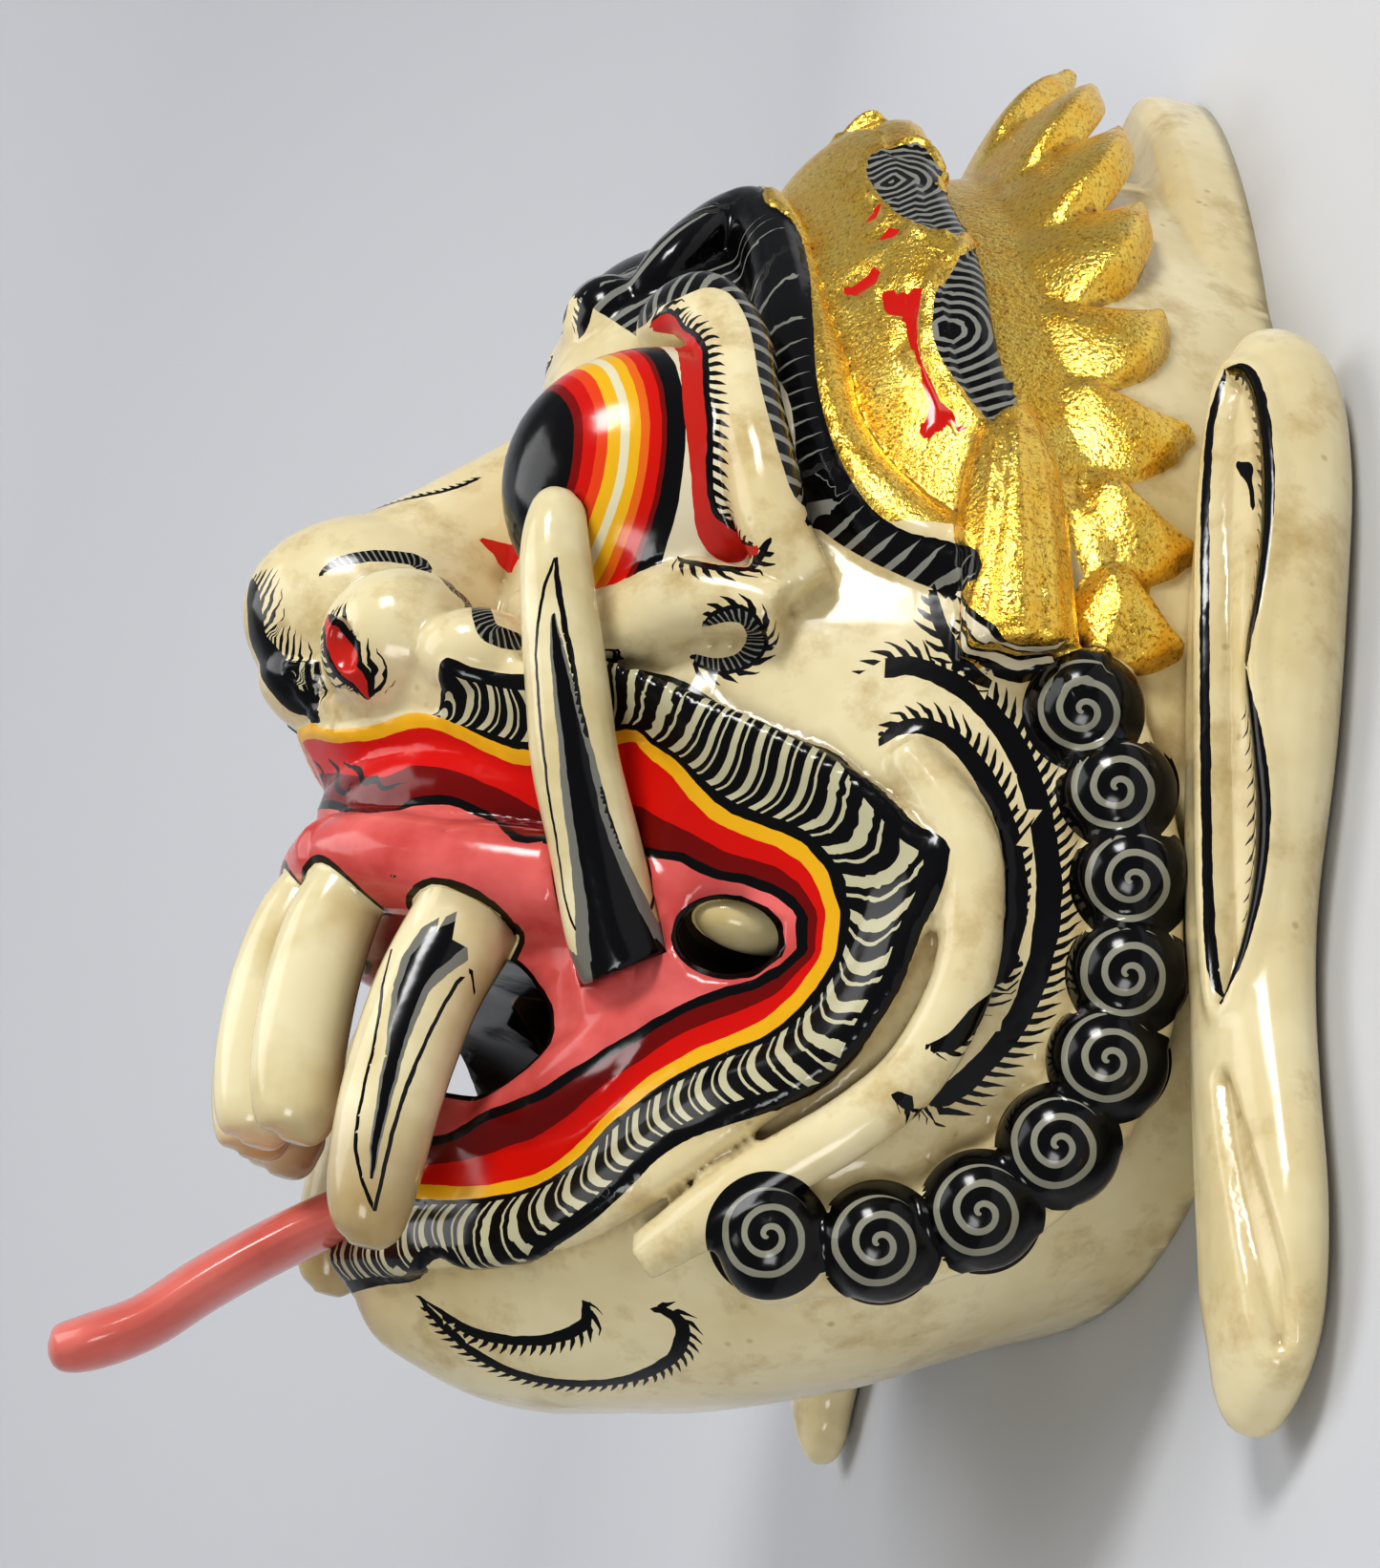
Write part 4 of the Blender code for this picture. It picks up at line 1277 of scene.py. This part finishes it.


# Lips: red lip with painted shade on its inner part, black line and gum inside the yellow line, cream
# strokes on the band
run, yellow, band = parts_of(add, "lip")
inner, gap, tooth = parts_of(add, "mouth")
yellow = add("ADD", yellow, tremble)
inner = add("ADD", inner, tremble)
in_mouth = between(yellow, -45.0, 0.0)
lay(in_mouth, RED)
depth = add("DIVIDE", inner, add("SUBTRACT", inner, yellow))
# Painted shade: the red lip turns deeper red towards its inner edge, where it falls away into the mouth
lay(both(add("LESS_THAN", depth, 0.45), in_mouth), LIP_SHADE_RED)
lay(both(add("LESS_THAN", inner, 0.8), in_mouth), BLACK)
pink = add("MixRGB", clouds(add, 60.0, 4.0, 0.5, 0.35, 0.7), GUM_LIGHT, GUM_DARK)
lay(both(add("LESS_THAN", inner, -0.8), in_mouth), pink)
lay(add("LESS_THAN", gap, 0.8), CAVITY)
in_band = both(add("LESS_THAN", band, 0.0), between(yellow, 0.0, 24.0))
lay(in_band, BLACK)
wide = add("SUBTRACT", yellow, band)
share = add("DIVIDE", yellow, add("MAXIMUM", wide, 0.5))
middle = add("SUBTRACT", share, 0.5)
bow = add("MULTIPLY", add("POWER", middle, 2.0), 4.2)
beat = add("FRACT", add("ADD", add("MULTIPLY", run, 0.22), bow))
strokes = add("MAXIMUM", add("LESS_THAN", beat, 0.3), add("COMPARE", beat, 0.55, 0.05))
lay(both(strokes, add("LESS_THAN", add("ABSOLUTE", middle), 0.31), in_band), BAND_CREAM)
lay(add("LESS_THAN", add("ABSOLUTE", yellow), 1.25), YELLOW)

# Brow: black with slanting grey strokes
run, brow_in, brow_gold = parts_of(add, "brow")
in_brow = both(between(brow_in, 0.0, 55.0), between(brow_gold, -55.0, 0.0))
lay(in_brow, BLACK)
wide = add("SUBTRACT", brow_in, brow_gold)
share = add("DIVIDE", brow_in, add("MAXIMUM", wide, 0.5))
beat = add("FRACT", add("SUBTRACT", add("MULTIPLY", run, 0.23), share))
thick = add("MapRange", share, 0.4, 0.94, 0.34, 0.0)
lay(both(add("LESS_THAN", beat, thick), in_brow), GREY)

# Eye: rings round the pupil
swings, eye_reach, arc = parts_of(add, "eye")
swings = add("ADD", swings, add("MULTIPLY", tremble, 1.5))
ramp = add("ValToRGB", add("DIVIDE", swings, 180.0))
stops = ramp.node.color_ramp
stops.interpolation = "CONSTANT"
stops.elements[0].color = from_hex(RING_COLOURS[0])
stops.elements[1].position = ring_swings[0] / 180
stops.elements[1].color = from_hex(RING_COLOURS[1])
for edge, tint in zip(ring_swings[1:], RING_COLOURS[2:]):
    stops.elements.new(edge / 180).color = from_hex(tint)
lay(add("LESS_THAN", eye_reach, 0.9), ramp)

# Curls: black bosses with a grey spiral each
flat_u, flat_v, chain = parts_of(add, "curl")
radius = add("ADD", add("MULTIPLY", flat_u, flat_u), add("MULTIPLY", flat_v, flat_v))
radius = add("SQRT", radius)
lay(add("MAXIMUM", add("LESS_THAN", radius, 9.6), add("LESS_THAN", chain, 5.5)), BLACK)
angle = add("DIVIDE", add("ARCTAN2", flat_v, flat_u), 2 * math.pi)
coil = add("MULTIPLY", add("ADD", radius, tremble), 0.33)
coil = add("FRACT", add("ADD", coil, angle))
lay(both(add("LESS_THAN", coil, 0.34), add("LESS_THAN", radius, 7.2)), COIL_GREY)

# Teeth: a dark line at the gum, ivory, brown towards the fangs' tips
hollow, _, up = parts_of(add, "back")
lay(add("LESS_THAN", tooth, 1.7), GUM_LINE)
tip_height = add("ADD", up, add("MULTIPLY", tremble, 4.0))
tip_stain = add("MapRange", tip_height, -109.0, -118.0, 0.0, 0.4)
ivory = add("MixRGB", tip_stain, ivory_ground(add), TIP_BROWN)
lay(add("LESS_THAN", tooth, 0.5), ivory)

# Gold leaf: bright, grained and worn to bole in the hollows, with red pits and black pads
gold, pit, lozenge = parts_of(add, "gild")
on_gold = both(add("LESS_THAN", gold, 0.8), add("LESS_THAN", in_brow, 0.5))
on_pad = add("LESS_THAN", lozenge, 0.0)
in_pit = add("LESS_THAN", pit, 0.0)
leaf = add("MixRGB", clouds(add, 120.0, 5.0, 0.7, 0.35, 0.7), LEAF_LIGHT, LEAF_DARK)
leaf = add("MixRGB", clouds(add, 1300.0, 4.0, 0.7, 0.52, 0.64, 0.0, 0.75), leaf, LEAF_GRAIN)
worn = pointedness(add, 0.44, 0.495, 1.0)
leaf = add("MixRGB", worn, leaf, LEAF_WORN)
lay(on_gold, add("MixRGB", in_pit, leaf, PIT_RED))
lay(on_pad, BLACK)
rings = add("FRACT", add("MULTIPLY", arc, 0.42))
lay(both(add("LESS_THAN", rings, 0.42), on_pad), GREY)
colour, drawn = ink_over(add, colour)
metal = both(on_gold, *(add("SUBTRACT", 1.0, mask) for mask in (in_pit, drawn, on_pad)))
metal = both(metal, add("MapRange", worn, 0.0, 1.0, 0.88, 0.15))

# Bare wood behind
lay(add("LESS_THAN", hollow, 1.0), BARE_WOOD)
roughness = add("MapRange", metal, 0.0, 1.0, LACQUER_ROUGHNESS, LEAF_ROUGHNESS)
gloss(lacquer, add, colour, roughness, metal)
settle(head, "head", lacquer)


# The ears are two boards of the same wood, carved on their own and glued to the sides of the
# rim: a sunk leaf-shaped shell, and a long lobe with a groove. Their cream lacquer gives the eye
# a pale glossy ground with a few lashed black lines.
CONCHA = (
    (1280, 392), (1300, 390), (1314, 420), (1322, 480), (1322, 550), (1313, 620), (1303, 690),
    (1310, 760), (1319, 840), (1317, 900), (1306, 960), (1292, 1010), (1276, 1050), (1268, 1000),
    (1264, 920), (1262, 820), (1261, 720), (1261, 620), (1262, 520), (1268, 440), (1280, 392),
)
CONCHA_DEPTH = 3.2
LOBE_GROOVE = (
    (1276, 1130, 1.5), (1288, 1190, 2.5), (1308, 1270, 3.0), (1326, 1340, 3.0), (1338, 1400, 2.0),
)
GROOVE_DEPTH = 2.0
EAR_STROKES = (
    (0, 3.0, 3.6, 0.0, (
        (1280, 1046, 0.3), (1298, 1000, 0.9), (1313, 940, 1.1), (1321, 870, 1.3), (1317, 790, 1.3),
        (1304, 705, 0.8),
    )),
    (0, 3.0, 0.0, 3.0, (
        (1284, 388, 0.5), (1304, 388, 1.0), (1318, 420, 1.2), (1326, 480, 1.2), (1325, 550, 1.1),
        (1315, 620, 1.0), (1304, 690, 0.8),
    )),
    (0, 3.0, 0.0, 0.0, (
        (1282, 390, 0.4), (1268, 440, 0.7), (1262, 520, 0.7), (1261, 620, 0.7), (1261, 720, 0.8),
        (1262, 820, 0.8), (1264, 920, 0.8), (1268, 1000, 0.9), (1278, 1048, 0.6),
    )),
    (0, 3.0, 0.0, 0.0, ((1296, 486, 0.5), (1304, 492, 1.2), (1308, 505, 0.5), (1312, 530, 0.4))),
)
cream, add = new_material("cream lacquer on carved wood")
gloss(cream, add, ink_over(add, cream_ground(add))[0])


def fine_form(name, builder, grain, rubs):
    """A piece of its own as one fine skin, rubbed down so many times."""
    made = carve(name, builder)
    apply_modifier(made, "fine skin", "REMESH", mode="VOXEL", voxel_size=grain * MM)
    apply_modifier(made, "rub down", "SMOOTH", factor=0.5, iterations=rubs)
    return made


def hollow_out_ear(ear, skin):
    """Sink the leaf-shaped shell of the ear and a long groove in its lobe."""
    places = read_places(ear)
    line, facing, _ = trace(skin, CONCHA, 3)
    _, shell = follow(places, line, facing)
    shell = with_sign(shell, signs_of_loop(places, line))
    lift = 0.8 * ridge(shell - 1.6, 1.5) - CONCHA_DEPTH * step_up(-shell, -0.6, 2.4)
    line, facing, widths = trace(skin, LOBE_GROOVE)
    along, side = follow(places, line, facing)
    width = np.interp(along, running_length(line), widths[:, 0])
    raise_skin(ear, lift - GROOVE_DEPTH * step_up(width - np.abs(side), -1.0, 1.5))


# The tusks are two curved teeth of wood, each glued upright in its socket in the gum. Their
# ivory lacquer gives the eye a yellowed gloss with a black outline and a grey-edged wedge.
TUSK_STROKES = (
    (3, 2.0, 0.0, 0.0, (
        (578, 645, 0.4), (583, 680, 1.2), (590, 720, 1.8), (597, 760, 2.3), (605, 800, 3.0),
        (613, 850, 3.6), (625, 900, 4.6), (640, 950, 6.5), (655, 1000, 9.5), (658, 1015, 11.0),
    )),
    (0, 2.0, 0.0, 0.0, (
        (581, 585, 0.3), (570, 615, 0.3), (563, 650, 0.3), (561, 700, 0.3), (565, 750, 0.3),
        (570, 800, 0.3), (577, 850, 0.3), (585, 900, 0.3), (593, 950, 0.3), (612, 990, 0.3),
    )),
    (0, 2.0, 0.0, 0.0, (
        (582, 585, 0.3), (584, 615, 0.5), (590, 650, 0.5), (600, 700, 0.5), (608, 750, 0.5),
        (620, 800, 0.5), (635, 850, 0.5), (652, 900, 0.5), (665, 940, 0.5), (675, 958, 0.4),
        (684, 940, 0.4), (690, 930, 0.3),
    )),
)
ivory_paint, add = new_material("ivory lacquer on carved wood")
gloss(ivory_paint, add, ink_over(add, ivory_ground(add))[0])

# Each ear and tusk is made side by side; the near one's skin carries the lines of both
for name, sign in SIDES:
    ear = fine_form("carved_ear_" + name, lambda bm: ear_form(bm, sign), 0.9, 6)
    if sign > 0:
        ear_skin = skin_of(ear)
    hollow_out_ear(ear, ear_skin)
    combine(ear, carve("ground", ground_form), "DIFFERENCE")
    clean(ear)
    tusk = fine_form("carved_tusk_" + name, lambda bm: tusk_form(bm, sign), 0.7, 4)
    clean(tusk)
    if sign > 0:
        ear_skin, tusk_skin = skin_of(ear), skin_of(tusk)
    paint_strokes(ear, ear_skin, EAR_STROKES)
    paint_strokes(tusk, tusk_skin, TUSK_STROKES)
    settle(ear, "ear_" + name, cream)
    settle(tusk, "tusk_" + name, ivory_paint)

# The tongue is a curved strip of wood, glued into a slot over the lower lip. Its rose lacquer
# gives the eye a soft glossy pink without lines.
rose, add = new_material("rose lacquer on carved wood")
gloss(rose, add, add("MixRGB", clouds(add, 40.0, 4.0, 0.5, 0.4, 0.7), "#DD7A6E", "#C25A50"))
tongue = carve("carved_tongue", tongue_form)
clean(tongue)
settle(tongue, "tongue", rose)

# The floor and backdrop are one sheet of pale card that curves up behind the mask. It gives
# the eye a plain matt grey, so that only the mask is glossy.
CARD_FRONT, CARD_BEND, CARD_TOP = 2.0, -0.55, 2.2
BEND_RADIUS = 0.35
BEND_STEPS = 12
HALF_CARD = 2.5
bpy.ops.object.select_all(action="DESELECT")
bpy.ops.mesh.primitive_plane_add(size=1.0)
card = bpy.context.object
card.name = "card"
bm = bmesh.new()
profile = [(CARD_FRONT, 0.0), (CARD_BEND, 0.0)]
for step in range(1, BEND_STEPS + 1):
    turn = math.pi / 2 * step / BEND_STEPS
    profile.append((CARD_BEND - BEND_RADIUS * math.sin(turn), BEND_RADIUS * (1 - math.cos(turn))))
profile.append((CARD_BEND - BEND_RADIUS, CARD_TOP))
edges = []
for y in (-HALF_CARD, HALF_CARD):
    row = [bm.verts.new((x, y, z)) for x, z in profile]
    edges += [bm.edges.new(pair) for pair in zip(row, row[1:])]
bmesh.ops.bridge_loops(bm, edges=edges)
bmesh.ops.recalc_face_normals(bm, faces=bm.faces)
bm.to_mesh(card.data)
bm.free()
card.data.shade_smooth()
pale, _ = new_material("pale card")
pale.node_tree.nodes["Principled BSDF"].inputs["Base Color"].default_value = from_hex("#C9CACD")
pale.node_tree.nodes["Principled BSDF"].inputs["Roughness"].default_value = 0.9
card.data.materials.append(pale)

# The light is a room's: a window to the upper left of the picture, a soft sky over the mask, and
# a weak lamp in front that opens the shadows.
LIT_SPOT = Vector((0, 0, 0.08))


def soft_light(name, place, size, power):
    lamp = bpy.data.lights.new(name, "AREA")
    lamp.size = size
    lamp.energy = power
    made = bpy.data.objects.new(name, lamp)
    made.location = place
    made.rotation_mode = "QUATERNION"
    made.rotation_quaternion = (LIT_SPOT - Vector(place)).to_track_quat("-Z", "Y")
    bpy.context.scene.collection.objects.link(made)


soft_light("window", (0.9, 0.9, 1.0), 0.4, 14)
soft_light("sky", (-0.2, 0.2, 1.6), 1.0, 9)
soft_light("front", (1.0, -0.9, 0.5), 0.4, 5)

bpy.context.scene.view_settings.view_transform = "Standard"
bpy.context.scene.view_settings.look = "Medium High Contrast"
world = bpy.data.worlds.new("room")
world.use_nodes = True
room = world.node_tree.nodes["Background"]
room.inputs["Color"].default_value = (0.85, 0.87, 0.9, 1)
room.inputs["Strength"].default_value = 0.24
bpy.context.scene.world = world
